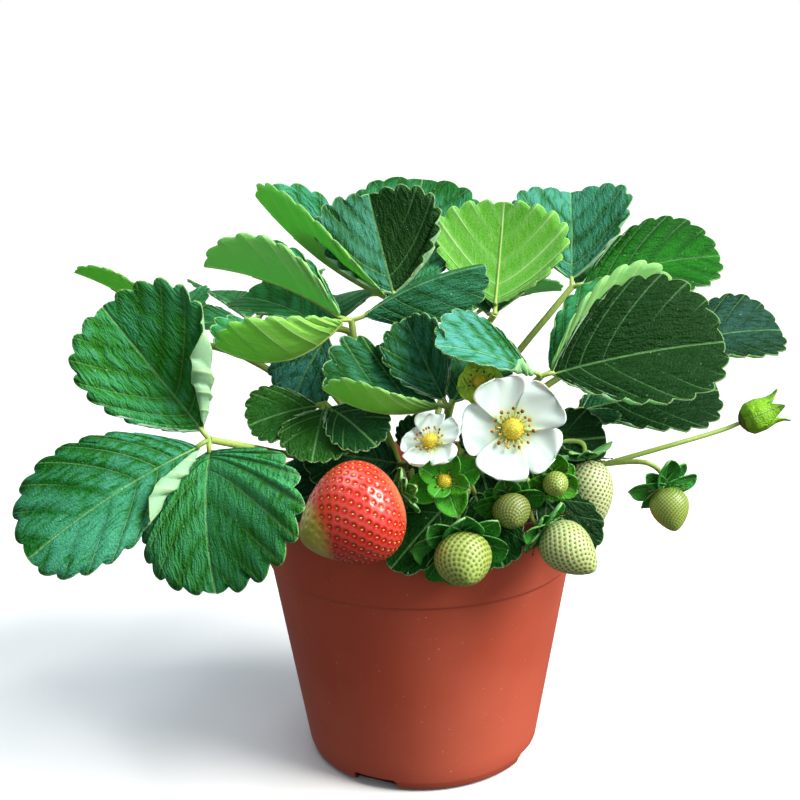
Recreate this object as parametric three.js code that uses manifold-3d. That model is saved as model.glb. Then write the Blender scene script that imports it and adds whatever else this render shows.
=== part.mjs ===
// A strawberry plant in a plastic nursery pot. Millimetres, +Z up, origin at the centre of the pot's
// foot. The plant's front, with its flowers and fruit, is towards -Y.
import * as THREE from "three";
import { mergeVertices } from "three/addons/utils/BufferGeometryUtils.js";
import Module from "manifold-3d";

const wasm = await Module();
wasm.setup();

// ---------------------------------------------------------------- driving dimensions
const POT_HEIGHT = 100;
const POT_FOOT_R = 43;
const POT_RIM_R = 60; // outside of the rolled lip
const POT_WALL = 1.6;
const COLLAR_FROM = 73.5; // height of the collar's lower edge
const COLLAR_STEP = 0.9; // how far the collar stands out from the wall under it
const LIP_HEIGHT = 4;
const FLOOR_THICK = 2;
const DRAIN = { count: 4, first: -25, width: 17, height: 4.5 }; // slots in the foot's edge
const POT_SIDES = 36;

const SOIL_TOP = 90;
const SOIL_GAP = 0.4;
const SOIL_LUMP = 1.6; // height of the soil's unevenness

const CROWN_R = 5;
const CROWN_TOP = 99;
const FOOT_DEPTH = 6; // how deep a stem stands in its hole
const HOLE_GAP = 0.3; // between the crown or a stem's end and its hole
const HOLE_REACH = 20; // a hole's cutter stands this high, well out of the soil

const BLADE = 0.8; // thickness of a leaf
const PETAL = 0.7;
const PETIOLE_R = 1.35;
const STEM_HOLE_R = PETIOLE_R + 0.95; // the holes have six sides, so they are wider than the stem
const STALK_R = 1.0;
const STALK_SIDES = 6;
const FIT = 0.3; // gap between a fruit or bloom and the stalk that carries it

const COLOURS = {
  pot: [0xa8452f, 0.55],
  soil: [0x2e2219, 1.0],
  crown: [0x6b4a2b, 0.9],
  leaf: [0x2c7a3a, 0.5],
  stalk: [0x6fa03a, 0.55],
  ripe: [0xc8201a, 0.35],
  unripe: [0xb9cf6a, 0.45],
  petal: [0xf6f8f4, 0.6],
  centre: [0xe2bb2a, 0.7],
};

// ---------------------------------------------------------------- vectors
const vec = (a) => new THREE.Vector3(...a);
const rad = THREE.MathUtils.degToRad;
const mix = (a, b, t) => a + (b - a) * t;

// The part of v that is square to the unit vector along, at unit length.
function squareTo(v, along) {
  return v.clone().addScaledVector(along, -v.dot(along)).normalize();
}

// ---------------------------------------------------------------- solids
function solidOf(geometry) {
  const g = geometry.clone();
  for (const name of Object.keys(g.attributes)) if (name !== "position") g.deleteAttribute(name);
  const merged = mergeVertices(g, 1e-4);
  const corners = merged.index.array;
  const kept = [];
  for (let i = 0; i < corners.length; i += 3) {
    const [a, b, c] = corners.slice(i, i + 3);
    if (a !== b && b !== c && c !== a) kept.push(a, b, c);
  }
  const vertProperties = new Float32Array(merged.attributes.position.array);
  return new wasm.Manifold(new wasm.Mesh({ numProp: 3, vertProperties, triVerts: new Uint32Array(kept) }));
}

function geometryOf(solid) {
  const m = solid.getMesh();
  const points = new Float32Array(m.numVert * 3);
  for (let i = 0; i < m.numVert; i++) {
    points.set(m.vertProperties.subarray(i * m.numProp, i * m.numProp + 3), i * 3);
  }
  const g = new THREE.BufferGeometry();
  g.setAttribute("position", new THREE.BufferAttribute(points, 3));
  g.setIndex(new THREE.BufferAttribute(new Uint32Array(m.triVerts), 1));
  return g;
}

function solidFrom(points, faces) {
  const g = new THREE.BufferGeometry();
  g.setAttribute("position", new THREE.Float32BufferAttribute(points.flatMap((p) => [p.x, p.y, p.z]), 3));
  g.setIndex(faces.flat());
  const s = solidOf(g);
  return s.volume() < 0 ? solidFrom(points, faces.map((f) => [f[0], f[2], f[1]])) : s;
}

const union = (solids) => solids.reduce((a, b) => a.add(b));

// Joins the parts and keeps the largest body, which drops the crumbs that a union can leave, and merges
// the slivers that it cuts.
const SLIVER = 0.04;
function fuse(solids) {
  const joined = solidOf(geometryOf(union(solids).simplify(SLIVER))).simplify(SLIVER);
  const bodies = joined.decompose();
  return bodies.sort((a, b) => b.volume() - a.volume())[0];
}

// A closed tube of the given radius along a smooth curve through the points.
function tube(points, radius, steps = 8, sides = STALK_SIDES) {
  const path = new THREE.CatmullRomCurve3(points, false, "centripetal");
  const section = new THREE.Shape();
  for (let i = 0; i < sides; i++) {
    const a = (2 * Math.PI * i) / sides;
    const go = i ? "lineTo" : "moveTo";
    section[go](radius * Math.cos(a), radius * Math.sin(a));
  }
  section.closePath();
  return solidOf(new THREE.ExtrudeGeometry(section, { steps, extrudePath: path, bevelEnabled: false }));
}

// ---------------------------------------------------------------- blades
// A thin solid that follows a sheet: rib holds the points along its middle, and left and right hold the
// points of each margin, with the number of the rib point that each belongs to.
function blade(rib, left, right, normal, thick) {
  const top = [];
  const rim = [];
  const faces = [];
  rib.forEach((p) => top.push(p));
  const sideStart = { left: top.length };
  left.forEach((m) => top.push(m.at));
  sideStart.right = top.length;
  right.forEach((m) => top.push(m.at));
  const last = rib.length - 1;
  const fill = (margin, start, flip) => {
    const tri = (a, b, c) => faces.push(flip ? [a, c, b] : [a, b, c]);
    let r = 0;
    margin.forEach((m, i) => {
      const here = start + i;
      const before = i ? here - 1 : 0;
      while (r < m.rib) {
        if (before !== r) tri(r, r + 1, before);
        r += 1;
      }
      if (before !== r) tri(r, here, before);
    });
    const end = start + margin.length - 1;
    while (r < last) {
      tri(r, r + 1, end);
      r += 1;
    }
    rim.push(margin.map((m, i) => start + i));
  };
  fill(left, sideStart.left, false);
  fill(right, sideStart.right, true);
  const n = top.length;
  const drop = normal.clone().multiplyScalar(-thick);
  const points = [...top, ...top.map((p) => p.clone().add(drop))];
  const loop = [0, ...rim[0], last, ...rim[1].slice().reverse()];
  const all = [...faces, ...faces.map((f) => [f[0] + n, f[2] + n, f[1] + n])];
  // each edge of the loop gets two triangles, turned to match the faces that it bounds
  const used = new Set(faces.flatMap(([a, b, c]) => [a + "," + b, b + "," + c, c + "," + a]));
  loop.forEach((a, i) => {
    const b = loop[(i + 1) % loop.length];
    const [p, q] = used.has(a + "," + b) ? [b, a] : [a, b];
    all.push([p, q, q + n], [p, q + n, p + n]);
  });
  return solidFrom(points, all);
}

// The half width of a leaflet, as a share of its greatest, at a share s of its length: a wedge at the
// base, the slimmer the larger a is, and broadly rounded at the tip.
const WEDGE = 0.85;
function outline(s, a = WEDGE) {
  const b = 0.46;
  const peak = a / (a + b);
  return (Math.pow(s, a) * Math.pow(1 - s, b)) / (Math.pow(peak, a) * Math.pow(1 - peak, b));
}

const TEETH_FROM = 0.24; // the share of the length that has a plain margin
const TOOTH = 0.045; // how far a tooth stands out, and a notch goes in, as a share of the half width
const NECK = 0.8; // half the width of a leaflet's own short stalk

// One leaflet, from the junction to its tip. faces is the way that its upper side looks. fold holds the
// angles that the left and right halves rise from flat, arch the rise of the midrib's middle as a share
// of the length.
function leaflet(shape, junction) {
  const { tip, faces, width = 0.85, fold = [20, 20], arch = 0.06, teeth = 6 } = shape;
  const { wedge = [WEDGE, WEDGE] } = shape;
  const along = vec(tip).sub(junction).normalize();
  const stalk = Math.min(4, 0.1 * junction.distanceTo(vec(tip)));
  const base = junction.clone().addScaledVector(along, stalk);
  const length = base.distanceTo(vec(tip));
  const up = squareTo(vec(faces), along);
  // to the left, seen from above with the tip ahead
  const side = new THREE.Vector3().crossVectors(up, along);
  const reaches = [width].flat().map((w) => (length * w) / 2);
  const ribAt = (s) =>
    base
      .clone()
      .addScaledVector(along, length * s)
      .addScaledVector(up, length * arch * 4 * s * (1 - s));
  const notches = Array.from({ length: teeth }, (_, i) => mix(TEETH_FROM, 1, i / teeth));
  const rib = [junction, ...[0, ...notches, 1].map(ribAt)];
  const margin = (hand) => {
    const angle = rad(fold[hand > 0 ? 0 : 1]);
    const half = reaches[hand > 0 ? 0 : reaches.length - 1];
    const reach = (s) => outline(s, wedge[hand > 0 ? 0 : 1]);
    const out = (s, w) =>
      ribAt(s)
        .addScaledVector(side, hand * half * w * Math.cos(angle))
        .addScaledVector(up, half * w * Math.sin(angle));
    const list = [
      { at: junction.clone().addScaledVector(side, hand * NECK), rib: 0 },
      { at: base.clone().addScaledVector(side, hand * NECK), rib: 1 },
    ];
    notches.forEach((s, i) => {
      const crest = mix(s, notches[i + 1] ?? 1, 0.62);
      list.push({ at: out(s, reach(s) - (i ? TOOTH : 0)), rib: i + 2 });
      list.push({ at: out(crest, reach(crest) + TOOTH), rib: i + 2 });
    });
    return list;
  };
  return blade(rib, margin(1), margin(-1), up, BLADE);
}

// A thin star in one piece, for a calyx or the petals of a flower. lobes holds a list of lobes, in
// order around the axis, each with its angle, its reach, the angle between it and the axis, and how far
// its middle bends back. shape holds pairs of a share of the reach and a half width as a share of the
// reach, from the heart outwards. Neighbours lie in different layers, so that they can overlap.
function star({ lobes, ...rest }) {
  const layers = [[], [], []];
  lobes.forEach((lobe, i) => layers[lobes.length % 2 && i === lobes.length - 1 ? 2 : i % 2].push(lobe));
  return union(layers.filter((layer) => layer.length).map((layer) => starLayer({ lobes: layer, ...rest })));
}

function starLayer({ heart, axis, lobes, shape, tip = true, notch, cup = 0.2, thick = PETAL }) {
  const [a, b] = acrossFrom(axis);
  const outAt = (turn) => a.clone().multiplyScalar(Math.cos(turn)).addScaledVector(b, Math.sin(turn));
  const top = [heart.clone()];
  const faces = [];
  const ring = [];
  const add = (p) => top.push(p) - 1;
  lobes.forEach(({ turn, reach, lean, bend }, i) => {
    const next = lobes[(i + 1) % lobes.length].turn + (i + 1 === lobes.length ? 2 * Math.PI : 0);
    const out = outAt(turn);
    const side = new THREE.Vector3().crossVectors(axis, out);
    const rib = (s) =>
      heart
        .clone()
        .addScaledVector(out, s * reach * Math.sin(lean))
        .addScaledVector(axis, s * reach * Math.cos(lean) - bend * 4 * s * (1 - s));
    const edge = (s, w, hand) =>
      rib(s)
        .addScaledVector(side, hand * w * reach)
        .addScaledVector(axis, cup * w * reach);
    const right = shape.map(([s, w]) => add(edge(s, w, -1)));
    const middle = shape.map(([s]) => add(rib(s)));
    const left = shape.map(([s, w]) => add(edge(s, w, 1)));
    const end = tip ? add(rib(1)) : null;
    const gap = outAt((turn + next) / 2);
    const valley = add(heart.clone().addScaledVector(gap, notch).addScaledVector(axis, notch * 0.1));
    const before = i ? ring[ring.length - 1] : null;
    if (before !== null) faces.push([0, before, right[0]]);
    faces.push([0, right[0], middle[0]], [0, middle[0], left[0]], [0, left[0], valley]);
    for (let k = 0; k + 1 < shape.length; k++) {
      faces.push([right[k], right[k + 1], middle[k]], [right[k + 1], middle[k + 1], middle[k]]);
      faces.push([middle[k], middle[k + 1], left[k]], [middle[k + 1], left[k + 1], left[k]]);
    }
    const last = shape.length - 1;
    if (tip) faces.push([right[last], end, middle[last]], [middle[last], end, left[last]]);
    ring.push(...right, ...(tip ? [end] : [middle[last]]), ...left.slice().reverse(), valley);
  });
  faces.push([0, ring[ring.length - 1], ring[0]]);
  const n = top.length;
  const points = [...top, ...top.map((p) => p.clone().addScaledVector(axis, -thick))];
  const all = [...faces, ...faces.map((f) => [f[0] + n, f[2] + n, f[1] + n])];
  ring.forEach((p, i) => {
    const q = ring[(i + 1) % ring.length];
    all.push([q, p, p + n], [q, p + n, q + n]);
  });
  return solidFrom(points, all);
}

// ---------------------------------------------------------------- fruit and flowers
// The half width of a berry, as a share of its greatest, at a share t of the way from the stalk to the
// tip.
const berryShape = (t) => Math.pow(Math.sin(Math.PI * Math.pow(t, 0.72)), 0.62);

// Two directions square to the axis and to each other.
function acrossFrom(axis) {
  const helper = Math.abs(axis.z) > 0.9 ? new THREE.Vector3(0, 1, 0) : new THREE.Vector3(0, 0, 1);
  const a = squareTo(helper, axis);
  return [a, new THREE.Vector3().crossVectors(axis, a)];
}

// A berry whose skin is a net of points in slanted rows. Every third point is the place of a seed, so
// that each seed has six plain neighbours. There the skin goes in by pit, or stands out by lift. With
// seeds, each pit holds a seed of its own: three points around a raised one.
function berry({ at, axis, length, width, rows, around, pit = 0, lift = 0, seeds = false }) {
  const d = vec(axis).normalize();
  const [a, b] = acrossFrom(d);
  const start = vec(at).addScaledVector(d, FIT);
  const skin = (t, turn, off) => {
    const r = (width / 2) * berryShape(t) + off;
    const onAxis = start.clone().addScaledVector(d, length * t);
    return onAxis.addScaledVector(a, r * Math.cos(turn)).addScaledVector(b, r * Math.sin(turn));
  };
  const points = [start.clone()];
  const faces = [];
  const index = (i, j) => 1 + i * around + ((j + around) % around);
  const level = (i) => (i + 0.55) / (rows + 0.1);
  const angle = (i, j) => (2 * Math.PI * (j + i / 2)) / around;
  const isSeed = (i, j) => (((j + around) % around) + 3 * rows - i) % 3 === 0;
  const near = (i) => Math.min(1, berryShape(level(i)) * 1.4);
  for (let i = 0; i < rows; i++) {
    for (let j = 0; j < around; j++) {
      points.push(skin(level(i), angle(i, j), isSeed(i, j) ? (lift - pit) * near(i) : 0));
    }
  }
  const holds = (i, j) => seeds && i > 0 && i + 1 < rows && isSeed(i, j);
  const addFace = (corners) => {
    if (!corners.some(([i, j]) => holds(i, j))) faces.push(corners.map(([i, j]) => index(i, j)));
  };
  for (let i = 0; i + 1 < rows; i++) {
    for (let j = 0; j < around; j++) {
      addFace([[i, j], [i, j + 1], [i + 1, j]]);
      addFace([[i, j + 1], [i + 1, j + 1], [i + 1, j]]);
    }
  }
  for (let i = 0; i < rows; i++) {
    for (let j = 0; j < around; j++) {
      if (!holds(i, j)) continue;
      const rim = [[i, j + 1], [i + 1, j], [i + 1, j - 1], [i, j - 1], [i - 1, j], [i - 1, j + 1]];
      const wide = (near(i) * 0.9) / (width / 2);
      const foot = [0, 1, 2].map((k) => {
        const turn = (2 * Math.PI * k) / 3 + 0.5;
        const t = level(i) + (wide * 0.3 * Math.sin(turn) * width) / length;
        return skin(t, angle(i, j) + wide * 0.7 * Math.cos(turn), -pit * near(i));
      });
      const base = points.length;
      points.push(...foot);
      const peak = points.push(skin(level(i), angle(i, j), (0.55 - pit) * near(i))) - 1;
      const o = rim.map(([p, q]) => index(p, q));
      for (let k = 0; k < 3; k++) {
        const here = base + k;
        const next = base + ((k + 1) % 3);
        faces.push([o[2 * k], o[2 * k + 1], here], [o[2 * k + 1], next, here]);
        faces.push([o[2 * k + 1], o[(2 * k + 2) % 6], next], [here, next, peak]);
      }
    }
  }
  points.push(start.clone().addScaledVector(d, length));
  const lastPoint = points.length - 1;
  for (let j = 0; j < around; j++) {
    faces.push([0, index(0, j + 1), index(0, j)]);
    faces.push([lastPoint, index(rows - 1, j), index(rows - 1, j + 1)]);
  }
  return solidFrom(points, faces);
}

// The green leaves behind a flower or on a fruit's shoulder. spread is their angle from the axis: 90 is
// flat, more is bent back to the stalk.
function calyx({ at, axis, long = 9, wide = 2.6, spread = 95, count = 8, turn = 0 }) {
  const d = vec(axis).normalize();
  const lobes = Array.from({ length: count }, (_, i) => ({
    turn: rad(turn + (360 * i) / count),
    reach: long * (i % 2 ? 0.78 : 1),
    lean: rad(spread + (i % 3) * 6),
    bend: 0,
  }));
  const shape = [[0.46, wide / 2 / long]];
  const heart = vec(at).addScaledVector(d, -0.5);
  return star({ heart, axis: d, lobes, shape, notch: Math.min(1.6, long * 0.16) });
}

// A flower that is still shut: a round heart in a cup of leaves that point ahead.
function closedBud({ at, axis, heart = 5, long = 15, count = 5 }) {
  const d = vec(axis).normalize();
  const [a, b] = acrossFrom(d);
  const turnAhead = new THREE.Quaternion().setFromUnitVectors(new THREE.Vector3(0, 0, 1), d);
  const core = new THREE.IcosahedronGeometry(heart, 1).scale(1, 1, 1.15).applyQuaternion(turnAhead);
  const parts = [solidOf(core).translate(vec(at).addScaledVector(d, heart))];
  for (let i = 0; i < count; i++) {
    const turn = (2 * Math.PI * i) / count + 0.4;
    const out = a.clone().multiplyScalar(Math.cos(turn)).addScaledVector(b, Math.sin(turn));
    const from = vec(at).addScaledVector(d, 0.3 * heart).addScaledVector(out, 0.68 * heart);
    const tip = vec(at).addScaledVector(d, long).addScaledVector(out, heart * (1.1 + 0.35 * (i % 2)));
    parts.push(leaflet({ tip, faces: out, width: 0.5, fold: [8, 8], arch: 0.1, teeth: 3 }, from));
  }
  return parts;
}

// A flower's petals, in one piece.
function corolla({ at, axis, reach, count = 5, turn = 0, rise = 12 }) {
  const d = vec(axis).normalize();
  const lobes = Array.from({ length: count }, (_, i) => ({
    turn: rad(turn + (360 * i) / count),
    reach: reach * (1 - 0.04 * (i % 2)),
    lean: rad(90 - rise + (i % 2) * 9),
    bend: 0.02 * reach,
  }));
  const shape = [[0.3, 0.22], [0.6, 0.45], [0.86, 0.42], [1, 0.18]];
  const heart = vec(at).addScaledVector(d, FIT + PETAL - 0.1);
  return fuse([star({ heart, axis: d, lobes, shape, tip: false, notch: reach * 0.16, cup: 0.1 })]);
}

// The yellow cone in the middle of a flower, with its ring of stamens.
function flowerCentre({ at, axis, radius, stamens = 10, raise = 2 * FIT + PETAL + 0.4 }) {
  const d = vec(axis).normalize();
  const [a, b] = acrossFrom(d);
  const turnTo = new THREE.Matrix4().makeBasis(a, b, d);
  turnTo.setPosition(vec(at).addScaledVector(d, raise));
  const dome = new THREE.LatheGeometry(
    [[0, 0], [radius * 0.9, 0], [radius * 0.7, radius * 0.7], [0, radius]]
      .map((p) => new THREE.Vector2(...p)),
    9,
  ).rotateX(Math.PI / 2);
  const parts = [solidOf(dome)];
  for (let i = 0; i < stamens; i++) {
    const angle = (2 * Math.PI * i) / stamens;
    const long = radius * (i % 2 ? 1.55 : 1.85);
    const up = radius * (i % 2 ? 1.0 : 0.6);
    const end = new THREE.Vector3(long * Math.cos(angle), long * Math.sin(angle), up);
    const club = new THREE.OctahedronGeometry(1).scale(0.45, 0.45, end.length() * 0.5);
    club.applyMatrix4(new THREE.Matrix4().lookAt(end, new THREE.Vector3(), new THREE.Vector3(0, 0, 1)));
    parts.push(solidOf(club).translate(end.clone().multiplyScalar(0.6).toArray()));
  }
  return fuse(parts).transform(turnTo.toArray());
}

// ---------------------------------------------------------------- the plant's layout
// foot: the petiole's place in the soil, as an angle in degrees from +X and a distance from the middle.
// by: points the petiole passes. junction: where the three leaflets meet.
const LEAVES = {
  leaf_front_left: {
    foot: [205, 12.5],
    by: [[-20, -18, 110], [-46, -43, 124]],
    junction: [-65, -62, 134],
    leaflets: [
      {
        tip: [-97, -52, 174],
        faces: [0.1, -1, 0.35],
        width: [0.85, 1.05],
        fold: [5, 30],
        arch: -0.04,
        teeth: 8,
      },
      {
        tip: [-115, -88, 106],
        faces: [0.1, -0.75, 0.7],
        width: [0.62, 0.72],
        fold: [12, 12],
        arch: 0.08,
        teeth: 9,
      },
      {
        tip: [-62, -84, 93],
        faces: [-0.3, -0.9, 0.35],
        width: [1.6, 0.95],
        wedge: [0.42, 0.75],
        fold: [12, 10],
        arch: 0.1,
        teeth: 8,
      },
    ],
  },
  leaf_left: {
    foot: [175, 12.5],
    by: [[-24, 2, 118], [-62, 8, 146]],
    junction: [-84, 8, 153],
    leaflets: [
      { tip: [-121, 8, 178], faces: [-0.2, 0.3, 1], width: 0.6, fold: [15, 15], teeth: 5 },
      { tip: [-104, -20, 140], faces: [-0.3, -0.3, 1], width: 0.75, fold: [15, 15], teeth: 5 },
      { tip: [-92, 44, 162], faces: [-0.3, 0.3, 1], width: 0.8, fold: [18, 18], teeth: 5 },
    ],
  },
  leaf_top: {
    foot: [95, 7],
    by: [[0, 2, 125], [-3, -4, 150]],
    junction: [-7, -10, 167],
    leaflets: [
      { tip: [-56, 14, 203], faces: [0.2, 0, 1], width: 0.62, fold: [45, 45], arch: -0.06 },
      { tip: [-16, 9, 203], faces: [0, -1, 0.6], width: 1.25, fold: [25, 25], arch: -0.05, teeth: 7 },
      { tip: [6, 50, 206], faces: [0, -0.7, 0.8], width: 0.72, fold: [5, 5], arch: 0 },
    ],
  },
  leaf_low: {
    foot: [235, 7],
    by: [[-10, -16, 120], [-20, -22, 148]],
    junction: [-22, -24, 164],
    leaflets: [
      { tip: [-71, -16, 182], faces: [0.1, 0.2, 1], width: 0.7, fold: [45, 50] },
      { tip: [-64, -46, 160], faces: [0.1, 0.0, 1], width: [0.95, 0.75], fold: [55, 50], arch: -0.2 },
      { tip: [22, -28, 182], faces: [-0.2, -0.4, 1], width: 0.7, fold: [-25, -40] },
    ],
  },
  leaf_bright: {
    foot: [56, 12.5],
    by: [[12, 10, 125], [20, 0, 150]],
    junction: [27, -5.5, 162],
    leaflets: [
      { tip: [32, 15, 199], faces: [0.1, 1, -0.5], width: 1.22, fold: [-8, -8], teeth: 7 },
      { tip: [40, 42, 168], faces: [0.1, 0.4, 1], width: 0.65, fold: [20, 20] },
      { tip: [4, 40, 166], faces: [-0.1, 0.4, 1], width: 0.65, fold: [20, 20] },
    ],
  },
  leaf_right: {
    foot: [322, 12.5],
    by: [[18, -12, 118], [32, -28, 136]],
    junction: [40, -34, 146],
    leaflets: [
      { tip: [5, -52, 160], faces: [0, -0.6, 1], width: 0.8, fold: [20, 20] },
      { tip: [88, -6, 168], faces: [-0.2, 0.3, 1], width: 0.7, fold: [45, 50] },
      { tip: [98, -38, 157], faces: [0, -0.9, 0.7], width: [0.95, 0.8], fold: [8, 12], teeth: 8 },
    ],
  },
  leaf_back_right: {
    foot: [34, 12.5],
    by: [[22, 10, 125], [48, 14, 158]],
    junction: [57, 17, 168],
    leaflets: [
      { tip: [61, 50, 200], faces: [0, -0.7, 0.7], width: 1.1, fold: [16, 30] },
      { tip: [109, 12, 179], faces: [-0.1, -0.7, 1], width: 0.8, fold: [10, 5] },
      { tip: [88, 54, 172], faces: [0, 0.2, 1], width: 0.7, fold: [20, 20] },
    ],
  },
  leaf_far_right: {
    foot: [14, 12.5],
    by: [[34, 10, 122], [70, 22, 142]],
    junction: [92, 24, 144],
    leaflets: [
      { tip: [139, 32, 148], faces: [0, -0.8, 1], width: 0.75, fold: [10, 10] },
      { tip: [120, 64, 146], faces: [0, 0.3, 1], width: 0.75, fold: [18, 18] },
      { tip: [80, 66, 148], faces: [0, 0.3, 1], width: 0.75, fold: [18, 18] },
    ],
  },
  leaf_low_right: {
    foot: [352, 12.5],
    by: [[28, -8, 112], [44, -12, 126]],
    junction: [53, -14, 129],
    leaflets: [
      { tip: [104, -12, 135], faces: [0, -0.5, 1], width: 0.7, fold: [12, 12] },
      { tip: [60, -40, 131], faces: [0.3, -0.6, 1], width: 0.7, fold: [12, 12] },
      { tip: [84, 10, 121], faces: [0.3, 0.3, 1], width: 0.7, fold: [18, 18] },
    ],
  },
  leaf_middle: {
    foot: [285, 12.5],
    by: [[4, -24, 112], [8, -36, 128]],
    junction: [9, -43, 138],
    leaflets: [
      { tip: [-30, -56, 148], faces: [0, 0, 1], width: 0.75, fold: [40, 55], arch: -0.12 },
      { tip: [-4, -35, 166], faces: [-0.2, -0.9, 0.2], width: 0.7, fold: [40, 40] },
      { tip: [24, -14, 150], faces: [0, -0.3, 1], width: 0.65, fold: [15, 15] },
    ],
  },
  leaf_low_left: {
    foot: [232, 12.5],
    by: [[-14, -22, 112], [-26, -32, 132]],
    junction: [-31, -38, 139],
    leaflets: [
      { tip: [-55, -46, 134], faces: [-0.1, -0.7, 0.7], width: 0.95, fold: [10, 10] },
      { tip: [-34, -58, 125], faces: [0, -0.8, 0.6], width: 0.95, fold: [8, 8] },
      { tip: [-14, -55, 129], faces: [0.2, -0.7, 0.7], width: 0.8, fold: [10, 10] },
    ],
  },
  leaf_hanging: {
    foot: [150, 7],
    by: [[-16, 6, 130], [-24, 0, 156]],
    junction: [-30, -4, 158],
    leaflets: [
      { tip: [-44, -10, 134], faces: [-0.2, -1, 0.3], width: 1.0, fold: [10, 10], teeth: 5 },
      { tip: [-64, 20, 166], faces: [-0.2, -0.2, 1], width: 0.8, fold: [15, 15], teeth: 5 },
      { tip: [-30, 36, 164], faces: [0, 0.2, 1], width: 0.8, fold: [15, 15], teeth: 5 },
    ],
  },
  leaf_back_left: {
    foot: [120, 12.5],
    by: [[-26, 26, 120], [-52, 44, 146]],
    junction: [-64, 50, 152],
    leaflets: [
      { tip: [-96, 46, 150], faces: [0, -0.3, 1], width: 0.75, fold: [15, 15], teeth: 5 },
      { tip: [-88, 84, 160], faces: [0, 0.4, 1], width: 0.75, fold: [15, 15], teeth: 5 },
      { tip: [-42, 86, 164], faces: [0, 0.4, 1], width: 0.75, fold: [15, 15], teeth: 5 },
    ],
  },
  leaf_back: {
    foot: [80, 12.5],
    by: [[8, 30, 118], [18, 60, 146]],
    junction: [22, 72, 150],
    leaflets: [
      { tip: [62, 82, 158], faces: [0.2, 0.3, 1], width: 0.72, fold: [15, 15], teeth: 5 },
      { tip: [22, 118, 148], faces: [0, 0.5, 1], width: 0.8, fold: [15, 15], teeth: 5 },
      { tip: [-18, 90, 156], faces: [0, 0.4, 1], width: 0.72, fold: [15, 15], teeth: 5 },
    ],
  },
};

function stemFoot([angle, ring]) {
  return new THREE.Vector3(ring * Math.cos(rad(angle)), ring * Math.sin(rad(angle)), SOIL_TOP - FOOT_DEPTH);
}

function stemFrom(foot, by) {
  const at = stemFoot(foot);
  return [at, at.clone().setZ(SOIL_TOP), at.clone().setZ(SOIL_TOP + 5), ...by.map(vec)];
}

const knotAt = (at, radius) => solidOf(new THREE.IcosahedronGeometry(radius, 0)).translate(at);

function leafSolid({ foot, by, junction, leaflets }) {
  const to = vec(junction);
  const petiole = tube([...stemFrom(foot, by), to], PETIOLE_R, 8, 5);
  return fuse([petiole, knotAt(junction, PETIOLE_R * 1.4), ...leaflets.map((one) => leaflet(one, to))]);
}

// Where each fruit and flower hangs (its stalk's end) and the way from there to its tip or face.
const RIPE = { at: [-7, -67, 117], axis: [-0.9, -0.28, -0.33], length: 33, width: 32 };
const UNRIPE = {
  berry_front: { at: [11, -64, 100], axis: [0.15, -0.9, -0.4], length: 17, width: 18 },
  berry_front_right: { at: [38, -62, 103], axis: [0.7, -0.45, -0.5], length: 20, width: 16 },
  berry_small: { at: [27, -60, 112], axis: [0.1, -0.9, -0.4], length: 11, width: 12 },
  berry_tiny: { at: [41, -58, 118], axis: [0.1, -0.95, -0.1], length: 8, width: 8 },
  berry_pale: { at: [53, -46, 121], axis: [0.15, -0.2, -1], length: 22, width: 15 },
  berry_far_right: { at: [78, -50, 112], axis: [0.15, -0.5, -0.85], length: 14, width: 12.5 },
};
const CALYXES = {
  berry_front: { long: 12, wide: 5, spread: 92, count: 8, turn: 20 },
  berry_front_right: { long: 7.5, wide: 4, spread: 108, count: 8 },
  berry_small: { long: 9, wide: 4, spread: 92, count: 8, turn: 15 },
  berry_tiny: { long: 8, wide: 4, spread: 82, count: 6 },
  berry_pale: { long: 10, wide: 4, spread: 100, count: 8 },
  berry_far_right: { long: 12, wide: 4.4, spread: 98, count: 8, turn: 10 },
};
const FLOWERS = {
  flower_front: { at: [28, -58, 134.5], axis: [0.02, -0.96, 0.28], reach: 16.5, turn: 18, radius: 3.6 },
  flower_side: { at: [3.4, -60, 130.4], axis: [-0.35, -0.6, 0.75], reach: 10, turn: 20, radius: 2.6 },
};
const SPENT = { at: [19, -50, 147], axis: [-0.2, -0.6, 0.75] }; // a flower that has dropped its petals
const YOUNG = { at: [7, -62, 119], axis: [-0.1, -0.85, 0.5] }; // a fruit that has only just set
const BUD = { at: [106, -34, 129], axis: [0.93, 0.1, 0.35] };

// The foot of each truss, the points of its main stalk, and the pedicels, each from a point on the stalk.
const TRUSSES = {
  truss_front: {
    foot: [302, 7],
    stalk: [[13, -26, 112], [20, -42, 118], [28, -48, 121]],
    pedicels: [
      [[20, -42, 118], [13, -55, 110], "berry_front"],
      [[28, -48, 121], [35, -54, 114], "berry_front_right"],
      [[28, -48, 121], [30, -53, 117], "berry_small"],
      [[28, -48, 121], [38, -50, 120], "berry_tiny"],
      [[28, -48, 121], [46, -43, 126], "berry_pale"],
      [[28, -48, 121], [28, -50, 128], "flower_front"],
      [[20, -42, 118], [9, -51, 124], "flower_side"],
      [[28, -48, 121], [24, -42, 136], "spent"],
      [[20, -42, 118], [10, -54, 115], "young"],
    ],
    bracts: [
      { from: [16, -50, 114], tip: [-7, -63, 98], faces: [-0.2, -0.8, 0.8], width: 0.6 },
      { from: [16, -50, 114], tip: [19, -62, 99], faces: [0, -0.7, 0.8], width: 0.65 },
      { from: [33, -52, 117], tip: [45, -57, 108], faces: [0.2, -0.7, 0.8], width: 0.6 },
    ],
  },
  truss_right: {
    foot: [337, 7],
    stalk: [[22, -9.5, 106], [45, -31, 114], [60, -42, 118]],
    pedicels: [
      [[60, -42, 118], [72, -48, 120], "berry_far_right"],
      [[60, -42, 118], [84, -40, 124], "bud"],
    ],
  },
  truss_left: {
    foot: [268, 7],
    stalk: [[-4, -26, 116], [-3, -44, 121]],
    pedicels: [[[-3, -44, 121], [-3, -54, 118], "ripe"]],
  },
};

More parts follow.
